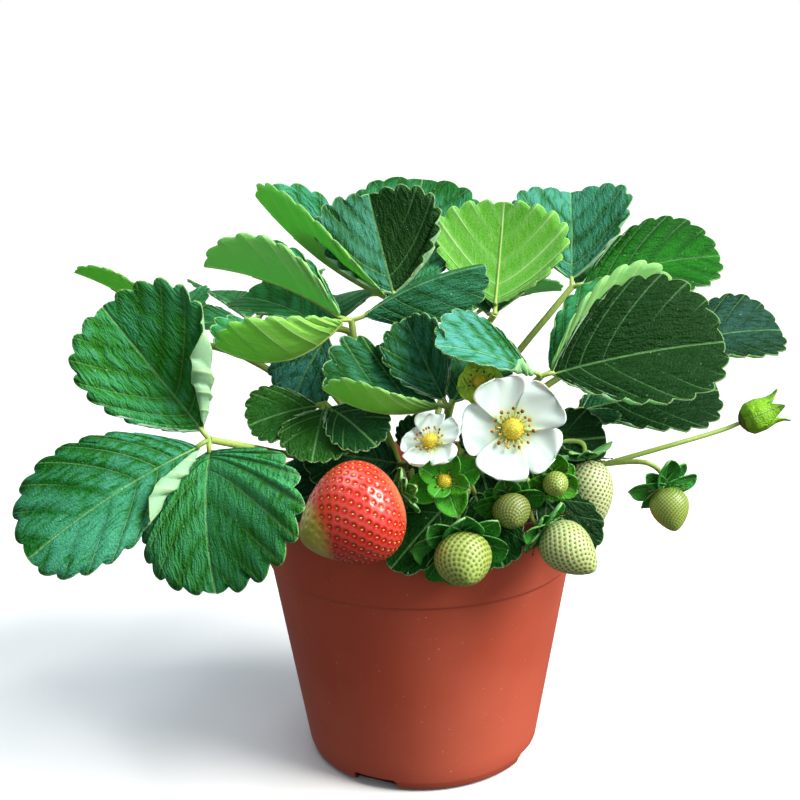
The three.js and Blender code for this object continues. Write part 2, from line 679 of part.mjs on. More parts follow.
// ---------------------------------------------------------------- pot and soil
const POT_SLOPE = (POT_RIM_R - POT_FOOT_R) / POT_HEIGHT;
const potRadius = (z) => POT_FOOT_R + POT_SLOPE * z;
function turned(profile, sides = POT_SIDES) {
  const points = profile.map((p) => new THREE.Vector2(...p));
  return solidOf(new THREE.LatheGeometry(points, sides).rotateX(Math.PI / 2));
}

function potSolid() {
  const below = COLLAR_STEP;
  const shell = turned([
    [0, 0],
    [POT_FOOT_R - 4, 0],
    [POT_FOOT_R - 1.4, 1],
    [potRadius(4) - below, 4],
    [potRadius(COLLAR_FROM) - below, COLLAR_FROM],
    [potRadius(COLLAR_FROM), COLLAR_FROM + 0.9],
    [potRadius(POT_HEIGHT - LIP_HEIGHT) - 0.3, POT_HEIGHT - LIP_HEIGHT],
    [POT_RIM_R, POT_HEIGHT - LIP_HEIGHT + 0.8],
    [POT_RIM_R, POT_HEIGHT - 0.6],
    [POT_RIM_R - 0.8, POT_HEIGHT],
    [POT_RIM_R - 2, POT_HEIGHT],
    [potRadius(POT_HEIGHT - LIP_HEIGHT) - POT_WALL - below, POT_HEIGHT - LIP_HEIGHT],
    [potRadius(FLOOR_THICK) - POT_WALL - below - 1, FLOOR_THICK],
    [0, FLOOR_THICK],
  ]);
  const { count, first, width, height } = DRAIN;
  const slot = new THREE.BoxGeometry(12, width, height).translate(POT_FOOT_R, 0, height / 2 - 0.01);
  const angles = Array.from({ length: count }, (_, i) => rad(first - 90 + (360 * i) / count));
  return angles.reduce((pot, angle) => pot.subtract(solidOf(slot.clone().rotateZ(angle))), shell);
}

// Gentle, repeatable unevenness.
const lump = (x, y) =>
  Math.sin(0.31 * x + 1.3) * Math.cos(0.27 * y + 0.4) + 0.6 * Math.sin(0.53 * y - 0.41 * x);

function soilSolid(feet) {
  const outer = (z) => potRadius(z) - POT_WALL - COLLAR_STEP - SOIL_GAP - 0.6;
  const low = FLOOR_THICK + SOIL_GAP;
  // each ring's height, radius and number of points, from the underside's middle to the top's
  const rings = [
    [low, 0, 1],
    [low, outer(low) * 0.965, POT_SIDES],
    [SOIL_TOP, outer(SOIL_TOP), POT_SIDES],
    [SOIL_TOP + 0.7, outer(SOIL_TOP) * 0.8, POT_SIDES],
    [SOIL_TOP + 1.3, outer(SOIL_TOP) * 0.45, POT_SIDES / 3],
    [SOIL_TOP + 1.5, 0, 1],
  ];
  const points = [];
  const faces = [];
  const starts = rings.map(([z, r, count], i) => {
    const start = points.length;
    for (let j = 0; j < count; j++) {
      const a = (2 * Math.PI * j) / count;
      const p = new THREE.Vector3(r * Math.sin(a), r * Math.cos(a), z);
      if (i > 2) p.z += SOIL_LUMP * 0.6 * lump(p.x, p.y);
      points.push(p);
    }
    return start;
  });
  for (let i = 0; i + 1 < rings.length; i++) {
    const [here, next] = [rings[i][2], rings[i + 1][2]];
    const at = (row, k) => starts[row] + (k % rings[row][2]);
    const widening = here < next;
    const [few, many] = widening ? [here, next] : [next, here];
    for (let j = 0; j < many; j++) {
      const k = Math.floor((j * few) / many);
      const [a, b] = widening ? [at(i, k), at(i + 1, j)] : [at(i, j), at(i + 1, k)];
      const beyond = widening ? at(i + 1, j + 1) : at(i, j + 1);
      faces.push([a, b, beyond]);
      const turns = Math.floor(((j + 1) * few) / many) > k;
      if (!turns || few === 1) continue;
      faces.push(widening ? [a, beyond, at(i, k + 1)] : [beyond, b, at(i + 1, k + 1)]);
    }
  }
  const hole = (x, y, r, sides) =>
    solidOf(
      new THREE.CylinderGeometry(r, r, HOLE_REACH, sides)
        .rotateX(Math.PI / 2)
        .translate(x, y, SOIL_TOP - FOOT_DEPTH - HOLE_GAP + HOLE_REACH / 2),
    );
  const holes = [hole(0, 0, CROWN_R + HOLE_GAP, 10), ...feet.map(({ x, y }) => hole(x, y, STEM_HOLE_R, 6))];
  return holes.reduce((soil, one) => soil.subtract(one), solidFrom(points, faces)).simplify(SLIVER);
}

function crownSolid() {
  const profile = [
    [0, SOIL_TOP - FOOT_DEPTH],
    [CROWN_R * 0.9, SOIL_TOP - FOOT_DEPTH],
    [CROWN_R, SOIL_TOP + 2],
    [CROWN_R * 0.8, CROWN_TOP - 3],
    [CROWN_R * 0.35, CROWN_TOP],
    [0, CROWN_TOP],
  ];
  return turned(profile, 10);
}

// ---------------------------------------------------------------- trusses
const HEADS = {
  ...Object.fromEntries(Object.entries(UNRIPE).map(([name, b]) => [name, { ...b, ...CALYXES[name] }])),
  flower_front: { ...FLOWERS.flower_front, long: 11, wide: 4, spread: 96, count: 8, turn: 24 },
  flower_side: { ...FLOWERS.flower_side, long: 8, wide: 3.4, spread: 92, count: 6 },
  spent: { ...SPENT, long: 9.5, wide: 5, spread: 74, count: 8, turn: 10 },
  young: { ...YOUNG, long: 9.5, wide: 5, spread: 72, count: 8, turn: 22 },
  bud: { ...BUD, closed: true },
  ripe: { ...RIPE, long: 8, wide: 3.6, spread: 108, count: 10 },
};

function trussSolid({ foot, stalk, pedicels, bracts = [] }) {
  const parts = [tube(stemFrom(foot, stalk), STALK_R * 1.25, 6, 5)];
  const joints = new Set(pedicels.map(([from]) => from.join()));
  for (const joint of joints) parts.push(knotAt(joint.split(",").map(Number), STALK_R * 2.2));
  for (const [from, by, name] of pedicels) {
    const head = HEADS[name];
    const d = vec(head.axis).normalize();
    const back = vec(head.at).addScaledVector(d, -5);
    const end = vec(head.at).addScaledVector(d, head.closed ? 1.5 : -0.75);
    parts.push(tube([vec(from), vec(by), back, end], STALK_R * 0.85, 4, 5));
    parts.push(...(head.closed ? closedBud(head) : [calyx(head)]));
  }
  for (const bract of bracts) parts.push(leaflet({ ...bract, teeth: 4, fold: [12, 12] }, vec(bract.from)));
  return fuse(parts);
}

// ---------------------------------------------------------------- the object
const object = new THREE.Group();
object.name = "strawberry_plant";

function put(name, solid, colour) {
  const [color, roughness] = COLOURS[colour];
  const finish = new THREE.MeshStandardMaterial({ color, roughness, metalness: 0 });
  const mesh = new THREE.Mesh(geometryOf(solid), finish);
  mesh.name = name;
  object.add(mesh);
}

const feet = [...Object.values(LEAVES), ...Object.values(TRUSSES)].map(({ foot }) => stemFoot(foot));
put("pot", potSolid(), "pot");
put("soil", soilSolid(feet), "soil");
put("crown", crownSolid(), "crown");
for (const [name, leaf] of Object.entries(LEAVES)) put(name, leafSolid(leaf), "leaf");
for (const [name, truss] of Object.entries(TRUSSES)) put(name, trussSolid(truss), "stalk");
put("berry_ripe", berry({ ...RIPE, rows: 10, around: 18, pit: 0.7, seeds: true }), "ripe");
for (const [name, one] of Object.entries(UNRIPE)) {
  put(name, berry({ ...one, rows: 7, around: 12, lift: 0.5 }), "unripe");
}
for (const [name, flower] of Object.entries(FLOWERS)) {
  put(`${name}_petals`, corolla(flower), "petal");
  put(`${name}_centre`, flowerCentre(flower), "centre");
}
put("spent_flower_centre", flowerCentre({ ...SPENT, radius: 2.2, stamens: 8, raise: 1 }), "centre");

export default object;
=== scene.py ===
"""A strawberry plant in a plastic pot: fine pieces and finishes over the CAD frame.

The plant's layout is in millimetres, as in the part's source. Meshes, camera and lamps are in metres.
"""
import math

import bpy
import numpy as np
from mathutils import Matrix, Vector


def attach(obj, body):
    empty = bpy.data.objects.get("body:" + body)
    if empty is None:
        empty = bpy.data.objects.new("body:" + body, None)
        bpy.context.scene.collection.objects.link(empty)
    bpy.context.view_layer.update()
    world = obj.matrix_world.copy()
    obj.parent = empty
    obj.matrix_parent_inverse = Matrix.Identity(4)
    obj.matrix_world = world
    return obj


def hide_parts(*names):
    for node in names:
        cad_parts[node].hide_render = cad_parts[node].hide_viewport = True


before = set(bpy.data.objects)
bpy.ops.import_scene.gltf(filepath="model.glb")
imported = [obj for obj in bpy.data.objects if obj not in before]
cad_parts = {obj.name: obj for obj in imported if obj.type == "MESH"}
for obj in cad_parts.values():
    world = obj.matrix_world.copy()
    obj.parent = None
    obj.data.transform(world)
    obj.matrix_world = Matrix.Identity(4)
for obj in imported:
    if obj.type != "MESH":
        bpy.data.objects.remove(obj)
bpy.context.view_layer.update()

MM = 0.001
GOLDEN_TURN = math.pi * (3 - math.sqrt(5))


# ---------------------------------------------------------------- nodes
def feed(tree, socket, value):
    if isinstance(value, bpy.types.NodeSocket):
        tree.links.new(value, socket)
    else:
        socket.default_value = value


def place_node(tree, kind, given=None, **settings):
    """A node with its settings, and with each input in given fed by a value or by another node's socket."""
    node = tree.nodes.new(kind)
    for name, value in settings.items():
        setattr(node, name, value)
    for key, value in (given or {}).items():
        feed(tree, node.inputs[key], value)
    return node


# ---------------------------------------------------------------- camera, light and floor
CAMERA_AT = (-0.0064, -0.413, 0.227)
CAMERA_DOWN, CAMERA_ROLL = 13.1, -1.06  # degrees below level, and degrees to the side
CAMERA_LENS, CAMERA_FILM = 53.3, 36
PLANT_MIDDLE = (0, 0, 0.12)
UNDER_FLOOR, WALLS, CEILING = (0.12, 0.12, 0.12, 1), (1, 1, 1, 1), (0.22, 0.26, 0.29, 1)
KEY_ANGLE = 34  # degrees, for soft shadows
SOFTBOX = 0.5
FLOOR_REACH = 1e5


def make_camera():
    data = bpy.data.cameras.new("camera")
    data.sensor_width = CAMERA_FILM
    data.lens = CAMERA_LENS
    data.clip_start = 0.01
    camera = bpy.data.objects.new("camera", data)
    pitch, roll = math.radians(90 - CAMERA_DOWN), math.radians(CAMERA_ROLL)
    turn = Matrix.Rotation(pitch, 4, "X") @ Matrix.Rotation(roll, 4, "Z")
    camera.matrix_world = Matrix.Translation(CAMERA_AT) @ turn
    bpy.context.scene.collection.objects.link(camera)
    bpy.context.scene.camera = camera


def hang_lamp(name, kind, at, power, tint, **settings):
    data = bpy.data.lights.new(name, kind)
    data.energy = power
    data.color = tint
    for key, value in settings.items():
        setattr(data, key, value)
    lamp = bpy.data.objects.new(name, data)
    lamp.location = at
    lamp.rotation_euler = (Vector(PLANT_MIDDLE) - Vector(at)).to_track_quat("-Z", "Y").to_euler()
    bpy.context.scene.collection.objects.link(lamp)


def make_studio():
    """A white surround, dark below and a dim soft blue overhead, with a broad key lamp and two softboxes."""
    scene = bpy.context.scene
    scene.view_settings.view_transform = "Standard"
    world = bpy.data.worlds.new("studio")
    world.use_nodes = True
    tree = world.node_tree
    direction = place_node(tree, "ShaderNodeTexCoord").outputs["Generated"]
    height = place_node(tree, "ShaderNodeSeparateXYZ", {0: direction}).outputs[2]
    shade = UNDER_FLOOR
    for start, end, above in ((-0.03, -0.012, WALLS), (0.11, 0.26, CEILING)):
        rise = place_node(tree, "ShaderNodeMapRange", {"Value": height, "From Min": start, "From Max": end})
        mixed = place_node(tree, "ShaderNodeMix", {0: rise.outputs[0], 6: shade, 7: above}, data_type="RGBA")
        shade = mixed.outputs[2]
    feed(tree, tree.nodes["Background"].inputs["Color"], shade)
    scene.world = world
    hang_lamp("key", "SUN", (0.93, -0.37, 1.0), 5.5, (1.0, 0.97, 0.93), angle=math.radians(KEY_ANGLE))
    hang_lamp("window", "AREA", (-0.25, 0.1, 1.0), 4.5, (0.84, 0.93, 1.0), size=SOFTBOX)
    hang_lamp("front", "AREA", (0.7, -0.9, 0.45), 1.5, (1.0, 0.98, 0.95), size=SOFTBOX)


def make_floor():
    corners = [(x * FLOOR_REACH, y * FLOOR_REACH, 0) for x, y in ((-1, -1), (1, -1), (1, 1), (-1, 1))]
    floor = mesh_object("studio_floor", corners, [(0, 1, 2, 3)], ["floor"])
    floor.visible_diffuse = floor.visible_glossy = False  # its white glare stays off the pot


# ---------------------------------------------------------------- finishes
def colour(code):
    """A linear colour from an sRGB code such as "2c7a3a"."""
    levels = [int(code[i : i + 2], 16) / 255 for i in (0, 2, 4)]
    return tuple(c / 12.92 if c <= 0.04045 else ((c + 0.055) / 1.055) ** 2.4 for c in levels) + (1.0,)


class Finish:
    """A procedural material, built from short calls that each return an output socket."""

    def __init__(self, name, **sockets):
        self.material = bpy.data.materials.new(name)
        self.material.use_nodes = True
        self.tree = self.material.node_tree
        self.shader = self.tree.nodes["Principled BSDF"]
        for socket, value in sockets.items():
            self.shader.inputs[socket.replace("_", " ")].default_value = value
        self.place = self.node("TexCoord", out="Object")

    def node(self, kind, given=None, out=0, **settings):
        return place_node(self.tree, "ShaderNode" + kind, given, **settings).outputs[out]

    def math(self, operation, a, b=0.0, c=0.0):
        return self.node("Math", {0: a, 1: b, 2: c}, operation=operation)

    def times(self, a, b):
        return self.math("MULTIPLY", a, b)

    def plus(self, a, b):
        return self.math("ADD", a, b)

    def less(self, a, b):
        return self.math("SUBTRACT", a, b)

    def mix(self, share, a, b):
        return self.node("Mix", {0: share, 6: a, 7: b}, out=2, data_type="RGBA")

    def blend(self, share, low, high):
        return self.mix(share, colour(low), colour(high))

    def wash(self, base, code, share, strength=None):
        """The base with a colour laid over it, as strongly as share, or share times strength, says."""
        if strength is not None:
            share = self.times(share, strength)
        return self.mix(share, base, colour(code))

    def ramp(self, value, start, end, low=0.0, high=1.0):
        given = {"Value": value, "From Min": start, "From Max": end, "To Min": low, "To Max": high}
        return self.node("MapRange", given, interpolation_type="SMOOTHSTEP")

    def fade(self, value, start, end, most=1.0):
        return self.ramp(value, start, end, most, 0.0)

    def noise(self, scale, detail=2.0, roughness=0.5, where=None):
        given = {"Vector": where or self.place, "Scale": scale, "Detail": detail, "Roughness": roughness}
        return self.node("TexNoise", given)

    def streaks(self, across, along, detail=2.0, roughness=0.5):
        """Noise with one scale across X and Y, and another along Z."""
        where = self.node("Mapping", {"Vector": self.place, "Scale": (across, across, along)})
        return self.noise(1.0, detail, roughness, where)

    def split(self, vector):
        return place_node(self.tree, "ShaderNodeSeparateXYZ", {0: vector}).outputs[:]

    def parts(self, name):
        return self.split(self.node("Attribute", out="Vector", attribute_name=name))

    def finish(self, base, roughness, height=None, strength=0.5, distance=0.0005):
        feed(self.tree, self.shader.inputs["Base Color"], base)
        feed(self.tree, self.shader.inputs["Roughness"], roughness)
        if height is not None:
            bump = self.node("Bump", {"Strength": strength, "Distance": distance, "Height": height})
            feed(self.tree, self.shader.inputs["Normal"], bump)
        return self.material


def leaf_marks(f):
    """The vein, wrinkle, net, margin and valley marks that both sides of a leaf share, each from 0 to 1."""
    across, vein_gap, edge = f.parts("leaf")
    row, along_vein, chance = f.parts("quilt")
    side_vein = f.fade(vein_gap, 0.06, 0.27)
    midrib = f.fade(across, 0.2, 0.6)
    vein = f.math("MAXIMUM", f.times(side_vein, 0.6), midrib)
    swerve = f.plus(along_vein, f.times(f.noise(160.0), 5.0))
    panel = f.plus(chance, f.times(f.math("FLOOR", row), 5.3))
    ladder = f.node("CombineXYZ", {0: f.times(row, 1.5), 1: f.times(swerve, 0.6), 2: panel})
    wrinkle = f.noise(1.0, 2.5, 0.55, ladder)
    cells = f.node(
        "TexVoronoi", {"Vector": f.place, "Scale": 900.0}, out="Distance", feature="DISTANCE_TO_EDGE"
    )
    net = f.ramp(cells, 0.0, 0.25)
    rim = f.fade(edge, 0.05, 0.26)
    valley = f.fade(vein_gap, 0.15, 1.5)
    return vein, wrinkle, net, rim, valley


def leaf_upper():
    f = Finish("leaf_upper", Specular_IOR_Level=0.09)
    vein, wrinkle, net, rim, valley = leaf_marks(f)
    young, frost, deep = f.parts("tone")
    broad = f.noise(30.0, 3.0)
    fine = f.noise(420.0, 3.0, 0.6)
    mature = f.blend(f.ramp(broad, 0.3, 0.7), "0e6a0e", "2aa420")
    # Painted shade, partly a darker green: the darkening value lays dark green over leaflets that lie in
    # shade.
    mature = f.wash(mature, "072c08", deep)
    # Painted shade along the grooves beside the veins.
    mature = f.wash(mature, "06300f", valley, 0.5)
    # Painted sheen: a silvery-blue colour laid over the blade where broad and wrinkle noise run high,
    # standing in for reflected light.
    sheen_mask = f.less(f.plus(broad, f.times(wrinkle, 0.7)), f.times(valley, 0.16))
    mature = f.wash(mature, "5ca8a4", f.times(frost, f.ramp(sheen_mask, 0.58, 1.02)))
    fresh = f.blend(broad, "429408", "62b414")
    # Painted light: below zero, the darkening value lightens fresh green towards pale yellow-green, for
    # sepals that lie in shade.
    fresh = f.wash(fresh, "c4ec4c", f.fade(deep, -1.0, 0.0))
    base = f.mix(young, mature, fresh)
    # Painted shade in the hollows of the cross wrinkles.
    base = f.wash(base, "0a3312", f.fade(wrinkle, 0.3, 0.5, 0.3))
    base = f.wash(base, "4f9650", f.less(1.0, net), 0.06)
    base = f.wash(base, "8ccb7c", vein, 0.42)
    base = f.wash(base, "a8d68c", rim, 0.55)
    specks = f.ramp(f.noise(900.0, 1.0), 0.75, 0.8)
    base = f.wash(base, "c9dcd0", specks, 0.4)
    height = f.less(f.times(wrinkle, 3.2), f.times(vein, 0.7))
    height = f.plus(f.plus(height, f.times(net, 0.25)), f.times(fine, 0.25))
    return f.finish(base, f.ramp(fine, 0.2, 0.8, 0.38, 0.52), height, 0.9, 0.0005)


def leaf_under():
    f = Finish(
        "leaf_underside", Specular_IOR_Level=0.2, Subsurface_Weight=0.4, Subsurface_Scale=0.002,
        Subsurface_Radius=(0.4, 1.0, 0.3),
    )
    vein, wrinkle, net, rim, valley = leaf_marks(f)
    young, lit, _ = f.parts("back")
    broad = f.noise(45.0, 3.0)
    pale = f.blend(broad, "7ab184", "a6d3ac")
    fresh = f.blend(broad, "378a0c", "5cac16")
    base = f.mix(young, pale, fresh)
    # Painted light: brighter yellow-green on the underside, standing in for light that shines through the
    # leaf.
    base = f.wash(base, "92dc52", f.times(lit, f.ramp(broad, 0.3, 0.7, 0.65, 0.95)))
    base = f.wash(base, "a4cf7e", f.fade(wrinkle, 0.3, 0.5, 0.15))
    base = f.wash(base, "a8cd86", f.less(1.0, net), 0.15)
    base = f.wash(base, "a9d68c", valley, 0.14)
    base = f.wash(base, "c4e4a0", vein, 0.65)
    base = f.wash(base, "c4e0a0", rim, 0.4)
    down = f.noise(1500.0)
    height = f.less(vein, f.times(wrinkle, 1.4))
    height = f.plus(height, f.times(down, 0.3))
    return f.finish(base, f.ramp(down, 0.2, 0.8, 0.55, 0.72), height, 0.45, 0.0004)


def stalk_finish():
    f = Finish("stalk_skin", Specular_IOR_Level=0.45, Subsurface_Weight=0.15, Subsurface_Scale=0.002)
    grooves = f.streaks(900.0, 90.0)
    base = f.blend(f.noise(60.0), "8fb04a", "b4cc6a")
    base = f.wash(base, "9a6a45", f.fade(f.split(f.place)[2], 0.092, 0.125), 0.5)
    base = f.wash(base, "6d8f37", grooves, 0.35)
    return f.finish(base, f.ramp(grooves, 0.3, 0.7, 0.42, 0.6), grooves, 0.4, 0.0003)


def hair_finish():
    f = Finish("down", Specular_IOR_Level=0.3)
    return f.finish(f.blend(f.noise(300.0), "dfe8cf", "f1f4e6"), 0.6)


def ripe_finish():
    f = Finish(
        "ripe_flesh", Specular_IOR_Level=0.55, Coat_Weight=0.35, Coat_Roughness=0.16,
        Subsurface_Weight=0.12, Subsurface_Scale=0.003,
    )
    along, _, pit = f.parts("fruit")
    broad = f.noise(70.0, 3.0)
    base = f.blend(broad, "b8120e", "dc1f16")
    # Painted shade in the pits round the seeds, and a painted highlight on the ridges between them.
    base = f.wash(base, "8f0d0e", f.fade(pit, 0.35, 0.9), 0.5)
    base = f.wash(base, "f2705c", f.ramp(pit, 0.95, 1.5), 0.4)
    base = f.wash(base, "cdbf52", f.ramp(f.plus(along, f.times(broad, 0.16)), 0.83, 0.96))
    base = f.wash(base, "e9a06c", f.fade(along, 0.02, 0.14), 0.6)
    return f.finish(base, f.ramp(broad, 0.3, 0.7, 0.26, 0.38), f.noise(1400.0), 0.12, 0.0003)


def unripe_finish():
    f = Finish(
        "unripe_flesh", Specular_IOR_Level=0.5, Coat_Weight=0.15, Coat_Roughness=0.3,
        Subsurface_Weight=0.2, Subsurface_Scale=0.002,
    )
    along, tint, pit = f.parts("fruit")
    broad = f.noise(110.0)
    base = f.blend(broad, "84a034", "a6c050")
    base = f.wash(base, "6c8e2e", f.fade(along, 0.1, 0.6, 0.6))
    # Painted shade: a tint below zero darkens a berry towards olive.
    base = f.wash(base, "5c6c14", f.fade(tint, -1.0, 0.0, 0.85))
    base = f.wash(base, "ecf4c0", f.ramp(tint, 0.0, 1.0, 0.0, 0.7))
    # A painted highlight on the ridges between the pits, and painted shade in the pits round the seeds.
    base = f.wash(base, "dbe3a0", f.ramp(pit, 0.6, 0.95), 0.4)
    base = f.wash(base, "4d6220", f.fade(pit, 0.22, 0.62, 0.9))
    return f.finish(base, f.ramp(broad, 0.3, 0.7, 0.36, 0.5), f.noise(1600.0), 0.15, 0.0003)


def seed_finish(name, light, dark):
    f = Finish(name, Specular_IOR_Level=0.5)
    return f.finish(f.blend(f.noise(260.0), light, dark), f.ramp(f.noise(500.0), 0.3, 0.7, 0.35, 0.5))


def petal_finish():
    f = Finish("petal_skin", Specular_IOR_Level=0.3, Subsurface_Weight=0.25, Subsurface_Scale=0.002)
    across, along, _ = f.parts("leaf")
    lines = f.noise(1.0, where=f.node("CombineXYZ", {0: f.times(across, 1.6), 1: along}))
    base = f.blend(f.times(lines, 0.08), "ecf8ee", "c8dacc")
    base = f.wash(base, "c4d97a", f.fade(along, 0.16, 0.52, 0.85))
    return f.finish(base, 0.62, lines, 0.15, 0.0003)


def pollen_finish(name, light, dark):
    f = Finish(name, Specular_IOR_Level=0.3)
    base = f.blend(f.ramp(f.noise(700.0), 0.35, 0.65), light, dark)
    return f.finish(base, f.ramp(f.noise(900.0), 0.3, 0.7, 0.6, 0.8), f.noise(2400.0), 0.4, 0.0002)


NOTCH_SKIN = 0.0406, 0.0412  # the shade in the drain notches fades out between these distances from the axis
FOOT_DARK_HEIGHT = 0.012


def pot_finish():
    """Moulded plastic with flow lines, scuffs, dust, a foot that darkens towards the bottom and shade inside
    its drain notches.
    """
    f = Finish("pot_plastic", Specular_IOR_Level=0.25)
    x, y, height = f.split(f.place)
    cloud = f.noise(14.0, 3.0, 0.55)
    flow = f.streaks(70.0, 9.0, 3.0, 0.6)
    base = f.blend(f.ramp(cloud, 0.3, 0.7), "bc5038", "cb6149")
    base = f.wash(base, "cc6242", f.ramp(flow, 0.5, 0.8), 0.25)
    scuffs = f.times(f.ramp(f.streaks(160.0, 1400.0), 0.66, 0.74), f.ramp(f.noise(30.0), 0.5, 0.7))
    base = f.wash(base, "d98d72", scuffs, 0.3)
    base = f.wash(base, "e8cfc4", f.ramp(f.noise(900.0, 1.0), 0.765, 0.8), 0.45)
    # Darker towards the bottom of the foot.
    base = f.wash(base, "7a2c1f", f.fade(height, 0.0, FOOT_DARK_HEIGHT), 0.35)
    reach = f.plus(f.times(x, x), f.times(y, y))
    notch = f.times(f.fade(reach, NOTCH_SKIN[0] ** 2, NOTCH_SKIN[1] ** 2), f.fade(height, 0.005, 0.008))
    base = f.wash(base, "170c0a", notch, 0.95)
    rough = f.plus(f.ramp(cloud, 0.3, 0.7, 0.36, 0.46), f.times(scuffs, 0.2))
    relief = f.plus(f.times(f.noise(1300.0, 2.0, 0.6), 0.35), f.times(flow, 0.6))
    return f.finish(base, rough, relief, 0.12, 0.0004)


def soil_finish():
    f = Finish("peat", Specular_IOR_Level=0.2)
    broad, fine = f.noise(120.0, 4.0, 0.65), f.noise(900.0, 3.0, 0.7)
    base = f.blend(f.ramp(broad, 0.3, 0.7), "1d140d", "46321f")
    base = f.wash(base, "6b5138", f.ramp(fine, 0.55, 0.8), 0.6)
    return f.finish(base, f.ramp(fine, 0.3, 0.7, 0.85, 1.0), f.plus(broad, fine), 0.9, 0.0015)


def bark_finish():
    f = Finish("crown_bark", Specular_IOR_Level=0.25)
    fibres = f.streaks(700.0, 80.0, 3.0, 0.6)
    base = f.blend(f.ramp(fibres, 0.3, 0.7), "4a2f1b", "8a6138")
    base = f.wash(base, "a9945a", f.ramp(f.noise(150.0), 0.5, 0.7), 0.5)
    return f.finish(base, 0.85, fibres, 0.8, 0.0008)


def floor_finish():
    f = Finish("studio_floor", Specular_IOR_Level=0.1)
    return f.finish(f.blend(f.noise(3.0), "f7f7f6", "f9f9f8"), 0.9)


# ---------------------------------------------------------------- meshes
def unit(v):
    v = np.asarray(v, float)
    return v / np.linalg.norm(v)


def square_to(v, along):
    v = np.asarray(v, float)
    return unit(v - along * v.dot(along))


def across_from(axis):
    """Two directions square to the axis and to each other."""
    a = square_to((0, 1, 0) if abs(axis[2]) > 0.9 else (0, 0, 1), axis)
    return a, np.cross(axis, a)


def even_turns(count):
    return np.arange(count) * 2 * math.pi / count


def ease(value, start, end):
    """0 up to start, then evenly up to 1 at end."""
    return np.clip((value - start) / (end - start), 0, 1)


def new_piece(name, data):
    piece = bpy.data.objects.new(name, data)
    bpy.context.scene.collection.objects.link(piece)
    return piece


def mark_points(mesh, name, kind, field, values):
    layer = mesh.attributes.new(name, kind, "POINT")
    layer.data.foreach_set(field, np.asarray(values, dtype=np.float32).ravel())


def mesh_object(name, points, faces, finishes, slots=None, **marks):
    """An object at the origin from points in millimetres. marks hold a vector for each point."""
    mesh = bpy.data.meshes.new(name)
    mesh.from_pydata((np.asarray(points) * MM).tolist(), [], [list(map(int, face)) for face in faces])
    for finish in finishes:
        mesh.materials.append(FINISHES[finish])
    if slots is not None:
        mesh.polygons.foreach_set("material_index", np.asarray(slots, dtype=np.int32))
    for key, values in marks.items():
        mark_points(mesh, key, "FLOAT_VECTOR", "vector", values)
    mesh.polygons.foreach_set("use_smooth", [True] * len(mesh.polygons))
    mesh.update()
    return new_piece(name, mesh)


def grid_faces(rows, columns, start=0, closed=False):
    """Quads of a grid of points, whose columns may close into a ring."""
    r, c = np.meshgrid(np.arange(rows - 1), np.arange(columns if closed else columns - 1), indexing="ij")
    here, after = (start + r * columns + c).ravel(), (start + r * columns + (c + 1) % columns).ravel()
    return np.stack([here, after, after + columns, here + columns], 1)


def join(name, pieces):
    """One object from several, with all their materials and attributes."""
    first = pieces[0]
    if len(pieces) > 1:
        with bpy.context.temp_override(
            active_object=first, object=first, selected_objects=pieces, selected_editable_objects=pieces
        ):
            bpy.ops.object.join()
    first.name = first.data.name = name
    return first


def sheet_solid(name, grid, drop, finishes, **marks):
    """A thin closed solid whose upper side is the grid of points, and whose underside lies drop below it.

    The first finish covers the upper side and the rim, and the last one the underside. marks hold a vector
    for each point of the grid.
    """
    rows, columns = grid.shape[:2]
    n = rows * columns
    top = grid_faces(rows, columns)
    under = top[:, ::-1] + n
    loop = np.concatenate([
        np.arange(columns), (np.arange(1, rows) + 1) * columns - 1,
        (rows - 1) * columns + np.arange(columns - 2, -1, -1), np.arange(rows - 2, 0, -1) * columns,
    ])
    after = np.roll(loop, -1)
    rim = np.stack([after, loop, loop + n, after + n], 1)
    points = np.concatenate([grid.reshape(-1, 3), (grid - drop).reshape(-1, 3)])
    slots = np.repeat([0, len(finishes) - 1, 0], [len(top), len(under), len(rim)])
    twice = {key: np.concatenate([value.reshape(-1, 3)] * 2) for key, value in marks.items()}
    return mesh_object(name, points, np.concatenate([top, under, rim]), finishes, slots, **twice)


def faced(up, grid, *marks):
    """A grid's unit normals on the side that up looks to, the grid and its marks.

    Their columns are turned round where the grid's quads would face the other way.
    """
    normals = np.cross(np.gradient(grid, axis=1), np.gradient(grid, axis=0))
    normals /= np.maximum(np.linalg.norm(normals, axis=2, keepdims=True), 1e-9)
    if np.sum(normals * up) > 0:
        return [normals, grid, *marks]
    return [v[:, ::-1] for v in (-normals, grid, *marks)]


# ---------------------------------------------------------------- Geometry Nodes
def new_tree(name, **inputs):
    tree = bpy.data.node_groups.new(name, "GeometryNodeTree")
    tree.interface.new_socket("Geometry", in_out="OUTPUT", socket_type="NodeSocketGeometry")
    tree.interface.new_socket("Geometry", in_out="INPUT", socket_type="NodeSocketGeometry")
    for label, kind in inputs.items():
        tree.interface.new_socket(label, in_out="INPUT", socket_type="NodeSocket" + kind)
    return tree, tree.nodes.new("NodeGroupInput").outputs


def close_tree(tree, geometry, given):
    real = place_node(tree, "GeometryNodeRealizeInstances", {"Geometry": geometry})
    dressed = place_node(
        tree, "GeometryNodeSetMaterial", {"Geometry": real.outputs[0], "Material": given["Material"]}
    )
    output = tree.nodes.new("NodeGroupOutput")
    tree.links.new(dressed.outputs[0], output.inputs[0])
    return tree


